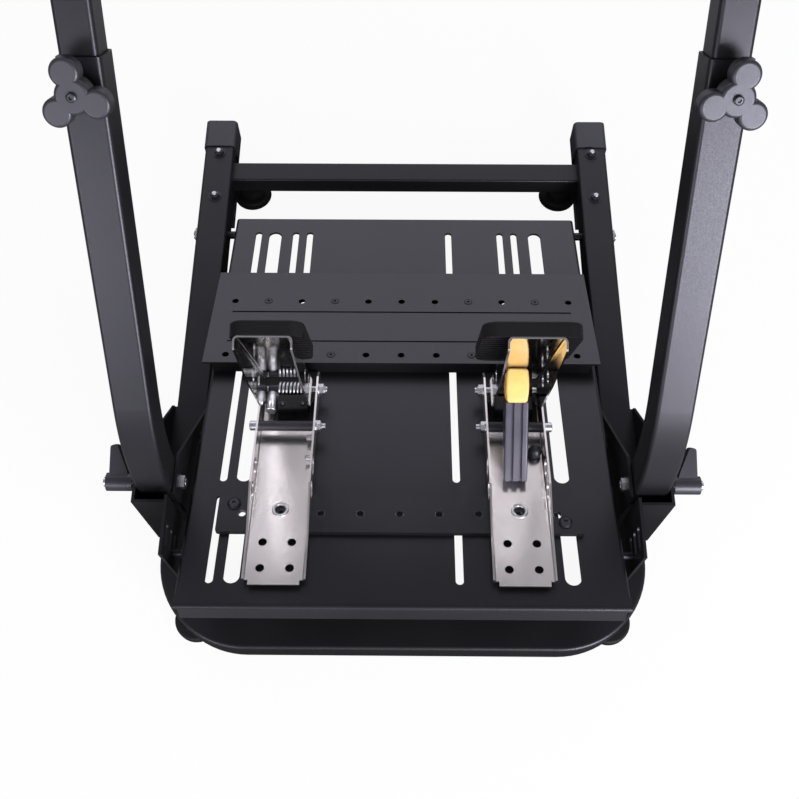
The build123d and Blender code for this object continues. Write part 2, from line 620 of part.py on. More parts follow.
def knob(x, turned):
    head = UP_HALF + KNOB_BOSS + FACE_CLEAR
    shape = rounded_disc(head, head + KNOB_T, 0, 0, KNOB_HUB_R, KNOB_STEP)
    for i in range(KNOB_LOBES):
        turn = 2 * math.pi * i / KNOB_LOBES + math.radians(90 + turned)
        lobe_x = KNOB_LOBE_OFFSET * math.cos(turn)
        lobe_y = KNOB_LOBE_OFFSET * math.sin(turn)
        shape += rounded_disc(head + KNOB_STEP, head + KNOB_T, lobe_x, lobe_y, KNOB_LOBE_R, KNOB_STEP)
    shape += rod_z(UP_HALF + PIN_CLEAR, head, 0, 0, KNOB_STUD_R)
    return Plane(lean_plane(x, -KNOB_DOWN).origin, x_dir=(1, 0, 0), z_dir=front).location * shape


def post(x):
    reach = POST_OUT + POST_TUBE
    tube = lean_plane(x, 0).location * straight_tube(reach, POST_TUBE, POST_TUBE, POST_WALL, TUBE_CORNER)
    level = lean_plane(x, POST_OUT).origin.Z
    return tube - Pos(x, 0, level + reach / 2) * Box(2 * UPRIGHT, 2 * BASE_LENGTH, reach)


def cheek_outline(near_y):
    return (
        (near_y, RAIL_TOP), (near_y, BRACKET_TOP_Z), (FOLD_Y + CHEEK_BACK, BRACKET_TOP_Z),
        (CHEEK_KNEE_Y, CHEEK_KNEE_Z), (CHEEK_FAR_Y, CHEEK_FOOT_Z), (CHEEK_FAR_Y, RAIL_TOP),
    )


def outer_bracket(s):
    """One folded sheet: outer cheek, web across the rail, and a slotted wall to the near side."""
    near = WEB_Y - BRACKET_T
    sheet = side_sheet(s * CHEEK_OUT, s * BRACKET_T, cheek_outline(near))
    sheet += block(s * WALL_X, s * (CHEEK_OUT + BRACKET_T), near, WEB_Y, RAIL_TOP, BRACKET_TOP_Z)
    sheet += block(s * WALL_X, s * (WALL_X + BRACKET_T), WALL_NEAR_Y, WEB_Y, RAIL_TOP, WALL_TOP_Z)
    for z in ADJUST_Z:
        low_x = s * (WALL_X - CUT)
        sheet -= slot_x(low_x, s * (WALL_X + BRACKET_T + CUT), ADJUST_Y, z, ADJUST_LENGTH, ADJUST_WIDTH)
    return sheet - rod_x(s * RAIL_X, s * (CHEEK_OUT + TUBE), FOLD_Y, FOLD_Z, FOLD_PIN_R)


def inner_bracket(s):
    """A cheek on the inner side with a foot that lies on the rail."""
    near = WEB_Y + 2 * BRACKET_T
    sheet = side_sheet(s * CHEEK_IN, -s * BRACKET_T, cheek_outline(near))
    sheet += block(s * (CHEEK_IN - CUT), s * CHEEK_OUT, near, CHEEK_FAR_Y, RAIL_TOP, RAIL_TOP + BRACKET_T)
    return sheet - rod_x(s * (CHEEK_IN - TUBE), s * RAIL_X, FOLD_Y, FOLD_Z, FOLD_PIN_R)


def clamp_lever(s):
    """A hub with a handle that narrows from the full hub to its tip."""
    end = LEVER_HUB_START + LEVER_HUB_LENGTH
    hub = rod_x(s * LEVER_HUB_START, s * end, 0, 0, LEVER_HUB_R)
    tip = end - LEVER_TIP_IN
    outline = (
        (s * (LEVER_HUB_START + LEVER_END), 0), (s * (LEVER_HUB_START + LEVER_ROOT_IN), LEVER_ROOT),
        (s * (tip - LEVER_TIP), LEVER_ARM), (s * tip, LEVER_ARM), (s * (end - LEVER_END), 0),
    )
    handle = extrude(Plane.XZ * make_face(Polyline(list(outline), close=True)), LEVER_ARM_T / 2, both=True)
    handle = fillet(handle.edges().filter_by(Axis.Y).sort_by(Axis.Z)[-2:], LEVER_TIP_R)
    lever = hub + handle
    lever -= rod_x(s * RAIL_X, s * (end - LEVER_END), 0, 0, FOLD_PIN_R + PIN_CLEAR)
    return Pos(0, FOLD_Y, FOLD_Z) * Rot(-LEVER_TILT, 0, 0) * lever


for side, s in SIDES.items():
    x = s * UPRIGHT_X
    save(upright(x), "upright_" + side)
    save(knob(x, -s * KNOB_TURN), "knob_" + side)
    inner_tube = straight_tube(POST_INSERT, POST_TUBE, POST_TUBE, POST_WALL, TUBE_CORNER)
    save(lean_plane(x, -POST_INSERT).location * inner_tube, "post_inner_" + side)
    save(post(x), "post_" + side)
    save(outer_bracket(s), "bracket_outer_" + side)
    save(inner_bracket(s), "bracket_inner_" + side)
    inner_end = s * (CHEEK_IN - BRACKET_T - FOLD_PIN_HEAD)
    outer_end = s * (LEVER_HUB_START + LEVER_HUB_LENGTH - 2 * LEVER_END)
    save(rod_x(inner_end, outer_end, FOLD_Y, FOLD_Z, FOLD_PIN_R), "fold_pin_" + side)
    save(clamp_lever(s), "clamp_lever_" + side)

# Wheel deck on its cross beam
post_top = lean_plane(0, POST_OUT).origin
beam_length = 2 * UPRIGHT_X + BEAM
beam = straight_tube(beam_length, BEAM, BEAM, BEAM_WALL, TUBE_CORNER)
beam = Rot(0, 90, 0) * Pos(0, 0, -beam_length / 2) * beam
save(Pos(0, post_top.Y, post_top.Z + BEAM / 2) * beam, "deck_beam")
deck = folded_tray(DECK_DEPTH, DECK_WIDTH, DECK_LIP, DECK_T, DECK_BEND)
deck = Rot(0, 0, 90) * Pos(0, -DECK_WIDTH / 2, DECK_T) * deck
for dx in (-0.5, 0.5):
    for dy in (-0.5, 0.5):
        deck -= rod_z(-DECK_T, 2 * DECK_T, dx * DECK_SPACING_X, dy * DECK_SPACING_Y, DECK_HOLE_R)
save(Pos(0, post_top.Y, post_top.Z + BEAM) * deck, "wheel_deck")
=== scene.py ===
"""Racing wheel stand: finishes, fasteners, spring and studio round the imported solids."""

import logging
import math
from dataclasses import dataclass, field
from enum import Enum
from typing import Any, Callable, Iterable, Optional, Sequence

import bmesh
import bpy
from bpy.types import ID, Material, Mesh, Node, NodeSocket, NodeTree, Object
from mathutils import Matrix, Vector


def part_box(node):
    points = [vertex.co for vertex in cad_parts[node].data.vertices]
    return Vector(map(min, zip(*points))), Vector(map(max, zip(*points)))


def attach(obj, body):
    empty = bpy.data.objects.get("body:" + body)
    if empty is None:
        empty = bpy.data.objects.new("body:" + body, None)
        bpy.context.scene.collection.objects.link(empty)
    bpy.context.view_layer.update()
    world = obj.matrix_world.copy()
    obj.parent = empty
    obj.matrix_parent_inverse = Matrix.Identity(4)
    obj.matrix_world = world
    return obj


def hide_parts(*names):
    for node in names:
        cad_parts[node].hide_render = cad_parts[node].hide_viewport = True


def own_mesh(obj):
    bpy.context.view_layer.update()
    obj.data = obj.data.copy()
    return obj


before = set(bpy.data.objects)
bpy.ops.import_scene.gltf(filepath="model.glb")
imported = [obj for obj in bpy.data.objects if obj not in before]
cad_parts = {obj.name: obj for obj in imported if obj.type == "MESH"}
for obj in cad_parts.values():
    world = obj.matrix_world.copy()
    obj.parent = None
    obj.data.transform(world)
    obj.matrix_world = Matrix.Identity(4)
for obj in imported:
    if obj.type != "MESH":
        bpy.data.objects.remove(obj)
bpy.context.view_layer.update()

MM = 0.001
SIDES = {"left": -1.0, "right": 1.0}
LOG = logging.getLogger("wheel_stand")
Pair = tuple[float, float]
Triple = tuple[float, float, float]
Spot = tuple[Vector, Vector]


def linear(code: str) -> tuple[float, float, float, float]:
    """Turn an sRGB hex colour into linear light.

    Args:
        code: Colour as #rrggbb.

    Returns:
        Red, green, blue and full opacity.
    """
    parts = [int(code[i:i + 2], 16) / 255 for i in (1, 3, 5)]
    rgb = [c / 12.92 if c <= 0.04045 else ((c + 0.055) / 1.055) ** 2.4 for c in parts]
    return (rgb[0], rgb[1], rgb[2], 1.0)


def add(
    tree: NodeTree, kind: str, links: Optional[dict[Any, Any]] = None, **settings: Any
) -> Node:
    """Add one node with its settings and links.

    Args:
        tree: Tree that takes the node.
        kind: Blender's type name of the node.
        links: A value or an output socket for each input, by name or number.
        **settings: Properties of the node.

    Returns:
        The new node.
    """
    node = tree.nodes.new(kind)
    for key, value in settings.items():
        setattr(node, key, value)
    for key, value in (links or {}).items():
        if isinstance(value, NodeSocket):
            tree.links.new(value, node.inputs[key])
        else:
            node.inputs[key].default_value = value
    return node


def blank_tree(owner: ID) -> NodeTree:
    """Give a material or a world an empty node tree."""
    owner.use_nodes = True
    owner.node_tree.nodes.clear()
    return owner.node_tree


def new_object(name: str, data: ID) -> Object:
    """Make an object of its data and link it to the scene."""
    made = bpy.data.objects.new(name, data)
    bpy.context.scene.collection.objects.link(made)
    return made


# Noise keeps near its middle, so each pattern is drawn from the span that it fills
GRAIN_SPAN = (0.3, 0.7)
PATCH_SPAN = (0.32, 0.68)
GRAIN_DETAIL = 3.0
GRAIN_MIX = 0.55
PATCH_DETAIL = 2.0
BUMP_STRENGTH = 0.6
# Light under the skin of a cast surface: its share, reach of each colour and depth
CAST_SHARE = 0.2
CAST_REACH = (1.0, 0.5, 0.15)
CAST_DEPTH_MM = 3.0


class Surface(Enum):
    """How a surface was made."""

    SPRAYED = "sprayed and baked"
    ROLLED = "rolled and polished"
    PLATED = "plated in a barrel"
    MOULDED = "moulded in a textured tool"
    CAST = "cast in a mould"
    DRAWN = "drawn through a die"


@dataclass(frozen=True)
class Finish:
    """One real material and the way its surface was made.

    The grain is the fine pattern that the eye sees as texture, and the patch is the slow change of
    shade. The sheen is the tint of the light that the surface throws back.
    """

    name: str
    slot: str
    surface: Surface
    colour: str
    tint: str
    roughness: Pair
    grain_mm: float
    bump_mm: float
    patch_mm: float = 70.0
    metallic: float = 0.0
    ior: float = 1.5
    stretch: Triple = (1.0, 1.0, 1.0)
    turn_deg: float = 0.0
    sheen: str = "#ffffff"

    def material(self) -> Material:
        """Build the material once.

        Returns:
            The procedural material of this finish.
        """
        known = bpy.data.materials.get(self.name)
        if known:
            return known
        made = bpy.data.materials.new(self.name)
        tree = blank_tree(made)
        place = add(tree, "ShaderNodeTexCoord").outputs["Object"]
        turned = add(tree, "ShaderNodeMapping", {
            "Vector": place, "Rotation": (math.radians(self.turn_deg), 0.0, 0.0),
            "Scale": self.stretch,
        }).outputs["Vector"]
        grain = add(tree, "ShaderNodeTexNoise", {
            "Vector": turned, "Scale": 1 / (self.grain_mm * MM), "Detail": GRAIN_DETAIL,
            "Roughness": GRAIN_MIX,
        }).outputs["Fac"]
        patch = add(tree, "ShaderNodeTexNoise", {
            "Vector": place, "Scale": 1 / (self.patch_mm * MM), "Detail": PATCH_DETAIL,
        }).outputs["Fac"]
        shade = add(tree, "ShaderNodeMapRange", {
            "Value": patch, "From Min": PATCH_SPAN[0], "From Max": PATCH_SPAN[1],
        }).outputs["Result"]
        colour = add(tree, "ShaderNodeMix", {
            "Factor": shade, "A": linear(self.colour), "B": linear(self.tint),
        }, data_type="RGBA")
        rough = add(tree, "ShaderNodeMapRange", {
            "Value": grain, "From Min": GRAIN_SPAN[0], "From Max": GRAIN_SPAN[1],
            "To Min": self.roughness[0], "To Max": self.roughness[1],
        }).outputs["Result"]
        bump = add(tree, "ShaderNodeBump", {
            "Height": grain, "Distance": self.bump_mm * MM, "Strength": BUMP_STRENGTH,
        }).outputs["Normal"]
        shader = add(tree, "ShaderNodeBsdfPrincipled", {
            "Base Color": colour.outputs["Result"], "Roughness": rough, "Normal": bump,
            "Metallic": self.metallic, "IOR": self.ior, "Specular Tint": linear(self.sheen),
        })
        if self.surface is Surface.CAST:
            shader.inputs["Subsurface Weight"].default_value = CAST_SHARE
            shader.inputs["Subsurface Radius"].default_value = CAST_REACH
            shader.inputs["Subsurface Scale"].default_value = CAST_DEPTH_MM * MM
        add(tree, "ShaderNodeOutputMaterial", {"Surface": shader.outputs["BSDF"]})
        return made


# Polyester powder coat: matt black with a cool sheen and a fine orange peel, drawn coarser than
# the real 0.5 mm to show
POWDER_COAT = Finish(
    "black_powder_coat", "black_paint", Surface.SPRAYED, "#131315", "#171719", (0.32, 0.42),
    1.5, 0.012, ior=1.48, sheen="#f3f3ff",
)
# Bright cold-rolled steel sheet: nearly a mirror, with faint rolling lines along the arm
ARM_STEEL = Finish(
    "polished_rolled_steel", "pedal_steel", Surface.ROLLED, "#d8d6d4", "#cbcaca", (0.05, 0.12),
    1.4, 0.0015, patch_mm=40.0, metallic=1.0, stretch=(1.0, 0.08, 0.08),
)
# The same sheet with a finely brushed face, which spreads the light over the floor of each base
BASE_STEEL = Finish(
    "brushed_rolled_steel", "pedal_steel", Surface.ROLLED, "#dfdbda", "#d7d3d2", (0.24, 0.26),
    1.6, 0.0001, patch_mm=50.0, metallic=1.0, stretch=(1.0, 0.05, 0.05),
)
# Zinc-plated steel: bright, slightly cloudy
ZINC = Finish(
    "zinc_plated_steel", "zinc_steel", Surface.PLATED, "#dedfe0", "#cbced2", (0.24, 0.36),
    1.2, 0.008, patch_mm=6.0, metallic=1.0,
)
# Spring wire: drawn steel with lines along the wire
WIRE = Finish(
    "drawn_spring_wire", "zinc_steel", Surface.DRAWN, "#d9dadc", "#c9cbcf", (0.3, 0.42),
    0.8, 0.004, patch_mm=5.0, metallic=1.0, stretch=(0.1, 1.0, 1.0),
)
# Black oxide on screw steel: dark grey, with an oiled sheen
BLACK_OXIDE = Finish(
    "black_oxide_steel", "black_paint", Surface.PLATED, "#3a3a3f", "#46464c", (0.3, 0.45),
    1.0, 0.01, patch_mm=5.0, metallic=0.85,
)
# Glass-filled nylon: charcoal, with a fine spark-eroded texture
NYLON = Finish(
    "moulded_black_nylon", "black_plastic", Surface.MOULDED, "#29292d", "#303034", (0.34, 0.46),
    1.1, 0.03, ior=1.58, sheen="#f3f3ff",
)
# Moulded pedal pad: matt black nylon with a coarser grip texture
PAD_NYLON = Finish(
    "moulded_pad_nylon", "pad_plastic", Surface.MOULDED, "#0e0d10", "#131215", (0.5, 0.65),
    1.3, 0.05, ior=1.33,
)
# Natural rubber: dull, dusty black
RUBBER = Finish(
    "moulded_black_rubber", "foot_rubber", Surface.MOULDED, "#0b0b0c", "#111112", (0.6, 0.78),
    1.6, 0.06, ior=1.4,
)
# Cast polyurethane: honey yellow, slightly see-through at the edges
ELASTOMER = Finish(
    "cast_yellow_polyurethane", "yellow_elastomer", Surface.CAST, "#f6cf7c", "#eec06c",
    (0.34, 0.46), 2.2, 0.02, patch_mm=14.0,
)
# Anodised aluminium extrusion: grey with a trace of violet, and die lines along its length
ANODISED = Finish(
    "anodised_grey_aluminium", "grey_aluminium", Surface.DRAWN, "#78767f", "#6a6873", (0.3, 0.42),
    0.9, 0.004, patch_mm=30.0, metallic=1.0, stretch=(1.0, 0.05, 1.0), turn_deg=-32.0,
)


def dress(nodes: Iterable[str], finish: Finish) -> None:
    """Give solids their finish.

    Args:
        nodes: Names of the solids.
        finish: Finish for all of them.
    """
    for name in nodes:
        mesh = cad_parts[name].data
        mesh.materials.clear()
        mesh.materials.append(finish.material())
        LOG.info("dressed %s with %s", name, finish.name)


def place_piece(
    name: str, mesh: Mesh, finish: Finish, body: str, stands_for: Iterable[str] = ()
) -> Object:
    """Put a finished mesh on its body.

    Args:
        name: Name of the piece.
        mesh: Mesh with its place in its points.
        finish: Finish of the piece.
        body: Body that it moves with.
        stands_for: Solids that it replaces.

    Returns:
        The piece.
    """
    mesh.materials.clear()
    mesh.materials.append(finish.material())
    piece = new_object(name, mesh)
    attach(piece, body)
    if stands_for:
        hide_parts(*stands_for)
    LOG.info("placed %s on %s, %d faces", name, body, len(mesh.polygons))
    return piece


def grow(tree: NodeTree, seed: Mesh, sizes: dict[str, Any]) -> Mesh:
    """Run a geometry tree on a seed mesh.

    Args:
        tree: Geometry tree.
        seed: Mesh that the tree starts from.
        sizes: Value of each named input.

    Returns:
        The result as a plain mesh.
    """
    host = new_object(tree.name + "_seed", seed)
    step = host.modifiers.new("grow", "NODES")
    step.node_group = tree
    for item in tree.interface.items_tree:
        if item.in_out == "INPUT" and item.name in sizes:
            step[item.identifier] = sizes[item.name]
    graph = bpy.context.evaluated_depsgraph_get()
    mesh = bpy.data.meshes.new_from_object(host.evaluated_get(graph))
    host.modifiers.remove(step)
    bpy.data.objects.remove(host)
    return mesh


def new_tree(name: str, sizes: Iterable[str]) -> NodeTree:
    """Start a geometry tree.

    Args:
        name: Name of the tree.
        sizes: Names of its size inputs.

    Returns:
        The tree, with its sockets and no nodes.
    """
    tree = bpy.data.node_groups.new(name, "GeometryNodeTree")
    tree.interface.new_socket("Seed", in_out="INPUT", socket_type="NodeSocketGeometry")
    for size in sizes:
        tree.interface.new_socket(size, in_out="INPUT", socket_type="NodeSocketFloat")
    tree.interface.new_socket("Finish", in_out="INPUT", socket_type="NodeSocketMaterial")
    tree.interface.new_socket("Result", in_out="OUTPUT", socket_type="NodeSocketGeometry")
    return tree


def close_tree(tree: NodeTree, shape: NodeSocket, finish: NodeSocket) -> None:
    """End a geometry tree: make its instances real, coat them and send them out.

    Args:
        tree: Geometry tree.
        shape: Socket that gives the geometry.
        finish: Socket that gives the material.
    """
    real = add(tree, "GeometryNodeRealizeInstances", {"Geometry": shape}).outputs["Geometry"]
    coated = add(tree, "GeometryNodeSetMaterial", {"Geometry": real, "Material": finish})
    add(tree, "NodeGroupOutput", {"Result": coated.outputs["Geometry"]})


# Sides and steps of the round shapes
ROUND_SIDES = 40
BORE_SIDES = 32
COIL_STEPS = 40
WIRE_SIDES = 12
ROD_STEPS = 5
EDGE_STEPS = 3
# Fasteners: narrowing of a crown, lift of a socket's middle above the head, least size
CROWN_TAPER = 0.72
SOCKET_LIFT_MM = 0.1
LEAST_MM = 0.01
# Drops of a weld seam: splits of the ball, spread of the size and its draw
DROP_SPLITS = 2
DROP_SPREAD = (0.85, 1.1)
DROP_SEED = 7


class Head(Enum):
    """Kind of fastener: sides of its head and sides of the hole in it."""

    HEX = (6, 0)
    SOCKET = (ROUND_SIDES, 6)
    PLAIN = (ROUND_SIDES, 0)
    RING = (ROUND_SIDES, BORE_SIDES)


@dataclass(frozen=True)
class Fastener:
    """Sizes of one fastener in mm. Its seat is at zero height and it stands along its axis."""

    head: Head
    radius: float
    height: float
    crown: float = 0.0
    crown_radius: float = 0.0
    washer: float = 0.0
    washer_t: float = 0.0
    stud: float = 0.0
    stud_out: float = 0.0
    socket: float = 0.0
    sink: float = 0.0
    shank: float = 0.0
    shank_radius: float = 0.0

    def tree(self) -> NodeTree:
        """Build the geometry tree of this kind of head once.

        Returns:
            A tree that sets a fastener on each seed point, along the point's axis.
        """
        name = "fastener_" + self.head.name.lower()
        known = bpy.data.node_groups.get(name)
        if known:
            return known
        shapes = ("Washer", "Head", "Crown", "Stud", "Shank", "Socket")
        sizes = [f"{shape} {size}" for shape in shapes for size in ("radius", "depth", "level")]
        tree = new_tree(name, sizes + ["Crown top"])
        given = add(tree, "NodeGroupInput").outputs
        outer, inner = self.head.value
        sides = {"Head": outer, "Socket": max(inner, 3)}
        solid = {}
        for shape in shapes:
            if shape == "Crown":
                made = add(tree, "GeometryNodeMeshCone", {
                    "Vertices": ROUND_SIDES, "Radius Bottom": given["Crown radius"],
                    "Radius Top": given["Crown top"], "Depth": given["Crown depth"],
                })
            else:
                made = add(tree, "GeometryNodeMeshCylinder", {
                    "Vertices": sides.get(shape, ROUND_SIDES), "Radius": given[shape + " radius"],
                    "Depth": given[shape + " depth"],
                })
            level = add(tree, "ShaderNodeCombineXYZ", {"Z": given[shape + " level"]})
            solid[shape] = add(tree, "GeometryNodeTransform", {
                "Geometry": made.outputs["Mesh"], "Translation": level.outputs["Vector"],
            }).outputs["Geometry"]
        joined = add(tree, "GeometryNodeJoinGeometry")
        tree.links.new(solid["Head"], joined.inputs[0])
        tree.links.new(solid["Crown"], joined.inputs[0])
        top = joined.outputs["Geometry"]
        if inner:
            cut = add(tree, "GeometryNodeMeshBoolean", {"Mesh 1": top}, operation="DIFFERENCE")
            tree.links.new(solid["Socket"], cut.inputs["Mesh 2"])
            top = cut.outputs["Mesh"]
        whole = add(tree, "GeometryNodeJoinGeometry")
        for shape in (solid["Washer"], solid["Stud"], solid["Shank"], top):
            tree.links.new(shape, whole.inputs[0])
        axis = add(tree, "GeometryNodeInputNamedAttribute", {
            "Name": "axis",
        }, data_type="FLOAT_VECTOR")
        turn = add(tree, "FunctionNodeAlignRotationToVector", {
            "Vector": axis.outputs["Attribute"],
        }, axis="Z")
        spread = add(tree, "GeometryNodeInstanceOnPoints", {
            "Points": given["Seed"], "Instance": whole.outputs["Geometry"],
            "Rotation": turn.outputs["Rotation"],
        })
        close_tree(tree, spread.outputs["Instances"], given["Finish"])
        return tree

    def sizes(self) -> dict[str, float]:
        """Work out the tree's inputs.

        Returns:
            Radius, depth and level of each shape, in metres.
        """
        base = self.washer_t - self.sink
        top = base + self.height
        peak = top + self.crown
        rows = {
            "Washer": (self.washer, self.washer_t, self.washer_t / 2),
            "Head": (self.radius, self.height, base + self.height / 2),
            "Crown": (self.crown_radius or self.radius, self.crown, top),
            "Stud": (self.stud, self.stud_out, peak + self.stud_out / 2),
            "Shank": (self.shank_radius, self.shank, base - self.shank / 2),
            "Socket": (self.socket, self.height + self.crown, peak + SOCKET_LIFT_MM),
        }
        if self.head is Head.RING:
            rows["Socket"] = (self.socket, 2 * self.height, base + self.height / 2)
        found = {}
        for shape, (radius, depth, level) in rows.items():
            found[shape + " radius"] = max(radius, LEAST_MM) * MM
            found[shape + " depth"] = max(depth, LEAST_MM) * MM
            found[shape + " level"] = level * MM
        found["Crown top"] = max((self.crown_radius or self.radius) * CROWN_TAPER, LEAST_MM) * MM
        return found

    def fit(self, name: str, spots: list[Spot], finish: Finish, body: str) -> Object:
        """Set this fastener on every spot.

        Args:
            name: Name of the piece.
            spots: Seat and axis of each fastener.
            finish: Finish of all of them.
            body: Body that they move with.

        Returns:
            One piece with all of them.
        """
        seed = bpy.data.meshes.new(name + "_spots")
        seed.from_pydata([spot for spot, _ in spots], [], [])
        axes = seed.attributes.new("axis", "FLOAT_VECTOR", "POINT")
        for row, (_, axis) in zip(axes.data, spots):
            row.vector = axis.normalized()
        mesh = grow(self.tree(), seed, {**self.sizes(), "Finish": finish.material()})
        return place_piece(name, mesh, finish, body)


def coil_tree() -> NodeTree:
    """Build the tree of a close-wound coil along X.

    Returns:
        A tree with the coil's radius, wire, length and turns as inputs.
    """
    tree = new_tree("close_wound_coil", ("Coil radius", "Wire radius", "Length", "Turns"))
    given = add(tree, "NodeGroupInput").outputs
    line = add(tree, "GeometryNodeCurveSpiral", {
        "Resolution": COIL_STEPS, "Rotations": given["Turns"], "Start Radius": given["Coil radius"],
        "End Radius": given["Coil radius"], "Height": given["Length"],
    })
    section = add(tree, "GeometryNodeCurvePrimitiveCircle", {
        "Resolution": WIRE_SIDES, "Radius": given["Wire radius"],
    })
    wire = add(tree, "GeometryNodeCurveToMesh", {
        "Curve": line.outputs["Curve"], "Profile Curve": section.outputs["Curve"],
        "Fill Caps": True,
    })
    laid = add(tree, "GeometryNodeTransform", {
        "Geometry": wire.outputs["Mesh"], "Rotation": (0.0, math.pi / 2, 0.0),
    })
    close_tree(tree, laid.outputs["Geometry"], given["Finish"])
    return tree


def bead_tree() -> NodeTree:
    """Build the tree of a weld seam: overlapping drops along the seed's edges.

    Returns:
        A tree with the drop's radius and pitch as inputs.
    """
    tree = new_tree("weld_bead", ("Drop radius", "Pitch"))
    given = add(tree, "NodeGroupInput").outputs
    line = add(tree, "GeometryNodeMeshToCurve", {"Mesh": given["Seed"]})
    dots = add(tree, "GeometryNodeCurveToPoints", {
        "Curve": line.outputs["Curve"], "Length": given["Pitch"],
    }, mode="LENGTH")
    drop = add(tree, "GeometryNodeMeshIcoSphere", {
        "Radius": given["Drop radius"], "Subdivisions": DROP_SPLITS,
    })
    soft = add(tree, "GeometryNodeSetShadeSmooth", {"Geometry": drop.outputs["Mesh"]})
    least, most = DROP_SPREAD
    size = add(tree, "FunctionNodeRandomValue", {"Min": least, "Max": most, "Seed": DROP_SEED})
    size.data_type = "FLOAT"
    spread = add(tree, "GeometryNodeInstanceOnPoints", {
        "Points": dots.outputs["Points"], "Instance": soft.outputs["Geometry"],
    })
    tree.links.new(size.outputs[1], spread.inputs["Scale"])
    close_tree(tree, spread.outputs["Instances"], given["Finish"])
    return tree


def bent_rod(name: str, points: list[Vector], radius: float) -> Mesh:
    """Sweep a round section along straight runs.

    Args:
        name: Name of the mesh.
        points: Corners of the run, in metres.
        radius: Radius of the section, in mm.

    Returns:
        A closed mesh.
    """
    curve = bpy.data.curves.new(name, "CURVE")
    curve.dimensions = "3D"
    curve.bevel_depth = radius * MM
    curve.bevel_resolution = ROD_STEPS
    curve.use_fill_caps = True
    line = curve.splines.new("POLY")
    line.points.add(len(points) - 1)
    for row, point in zip(line.points, points):
        row.co = (*point, 1.0)
    host = new_object(name, curve)
    graph = bpy.context.evaluated_depsgraph_get()
    mesh = bpy.data.meshes.new_from_object(host.evaluated_get(graph))
    bpy.data.objects.remove(host)
    mesh.name = name
    for face in mesh.polygons:
        face.use_smooth = True
    return mesh


def turned(name: str, profile: Sequence[Pair], place: Matrix, ring: bool = False) -> Mesh:
    """Turn a profile round its axis.

    Args:
        name: Name of the mesh.
        profile: Radius and height of each point in mm, up the outer side.
        place: Where the axis goes.
        ring: Whether the profile closes on itself round a bore.

    Returns:
        A closed mesh.
    """
    points, faces, sides = [], [], ROUND_SIDES
    for radius, height in profile:
        for i in range(sides):
            angle = 2 * math.pi * i / sides
            spot = Vector((radius * math.cos(angle), radius * math.sin(angle), height)) * MM
            points.append(place @ spot)
    for row in range(len(profile) - (0 if ring else 1)):
        low, high = row * sides, (row + 1) % len(profile) * sides
        for i in range(sides):
            j = (i + 1) % sides
            faces.append((low + i, low + j, high + j, high + i))
    if not ring:
        last = (len(profile) - 1) * sides
        faces.append(tuple(reversed(range(sides))))
        faces.append(tuple(range(last, last + sides)))
    mesh = bpy.data.meshes.new(name)
    mesh.from_pydata(points, [], faces)
    for face in mesh.polygons:
        face.use_smooth = len(face.vertices) == 4
    return mesh


def moulded_slab(
    name: str, low: Iterable[float], high: Iterable[float], at: Callable[..., Vector],
    edge: float = 0.8,
) -> Mesh:
    """Mould a slab with its edges rounded off.

    Args:
        name: Name of the mesh.
        low: Lowest of its three sizes in mm.
        high: Highest of its three sizes in mm.
        at: Turns three sizes in mm into a point in metres.
        edge: Radius of the edges in mm.

    Returns:
        A closed mesh.
    """
    work = bmesh.new()
    bmesh.ops.create_cube(work, size=1.0)
    for point in work.verts:
        spot = [a if c < 0 else b for c, a, b in zip(point.co, low, high)]
        point.co = at(*spot)
    bmesh.ops.bevel(
        work, geom=work.edges[:], offset=edge * MM, segments=EDGE_STEPS, affect="EDGES", profile=0.5
    )
    mesh = bpy.data.meshes.new(name)
    work.to_mesh(mesh)
    work.free()
    return mesh


def along_x(s: float) -> Vector:
    """Give the unit vector along X, with the sign of s."""
    return Vector((math.copysign(1.0, s), 0.0, 0.0))


@dataclass(frozen=True)
class SlopedPlate:
    """Frame of the sloped plate in mm: x across, v from its near edge, h above its top face."""

    near_y: float = -338.7
    near_z: float = 190.7
    tilt_deg: float = 14.63

    def direction(self, v: float, h: float) -> Vector:
        """Turn a direction on the plate into the stand's frame."""
        tilt = math.radians(self.tilt_deg)
        y = v * math.cos(tilt) + h * math.sin(tilt)
        return Vector((0.0, y, h * math.cos(tilt) - v * math.sin(tilt)))

    def at(self, x: float, v: float, h: float) -> Vector:
        """Give a point on the plate in metres."""
        return (Vector((x, self.near_y, self.near_z)) + self.direction(v, h)) * MM

    def normal(self) -> Vector:
        """Give the direction square to the plate."""
        return self.direction(0.0, 1.0)

    def stand(self, x: float, v: float, h: float, lie_deg: float = 0.0) -> Matrix:
        """Give the place of a piece that stands on the plate, or lies over towards its far edge."""
        turn = Matrix.Rotation(math.radians(-lie_deg - self.tilt_deg), 4, "X")
        return Matrix.Translation(self.at(x, v, h)) @ turn


PLATE = SlopedPlate()


@dataclass
class BaseFrame:
    """U-shaped base with its caps, feet, cross tube and bolts."""

    bolt_x: float = 249.5
    bolt_y: Pair = (231.0, 301.0)
    rail_top: float = 60.0
    nut: Fastener = Fastener(
        Head.HEX, 6.4, 3.0, crown=0.8, crown_radius=5.4, washer=8.6, washer_t=1.0
    )
    tip: Fastener = Fastener(Head.PLAIN, 3.2, 6.2, crown=0.8)

    def build(self) -> None:
        """Dress the base and bolt its rails to the cross tube."""
        dress(("base_tube", "cross_tube"), POWDER_COAT)
        for side in SIDES:
            dress(("end_cap_" + side,), NYLON)
            dress(("foot_near_" + side, "foot_far_" + side), RUBBER)
        up = Vector((0.0, 0.0, 1.0))
        spots = [
            (Vector((s * self.bolt_x, y, self.rail_top)) * MM, up)
            for s in SIDES.values() for y in self.bolt_y
        ]
        self.nut.fit("rail_nuts", spots, BLACK_OXIDE, "base")
        self.tip.fit("rail_bolt_tips", spots, ZINC, "base")


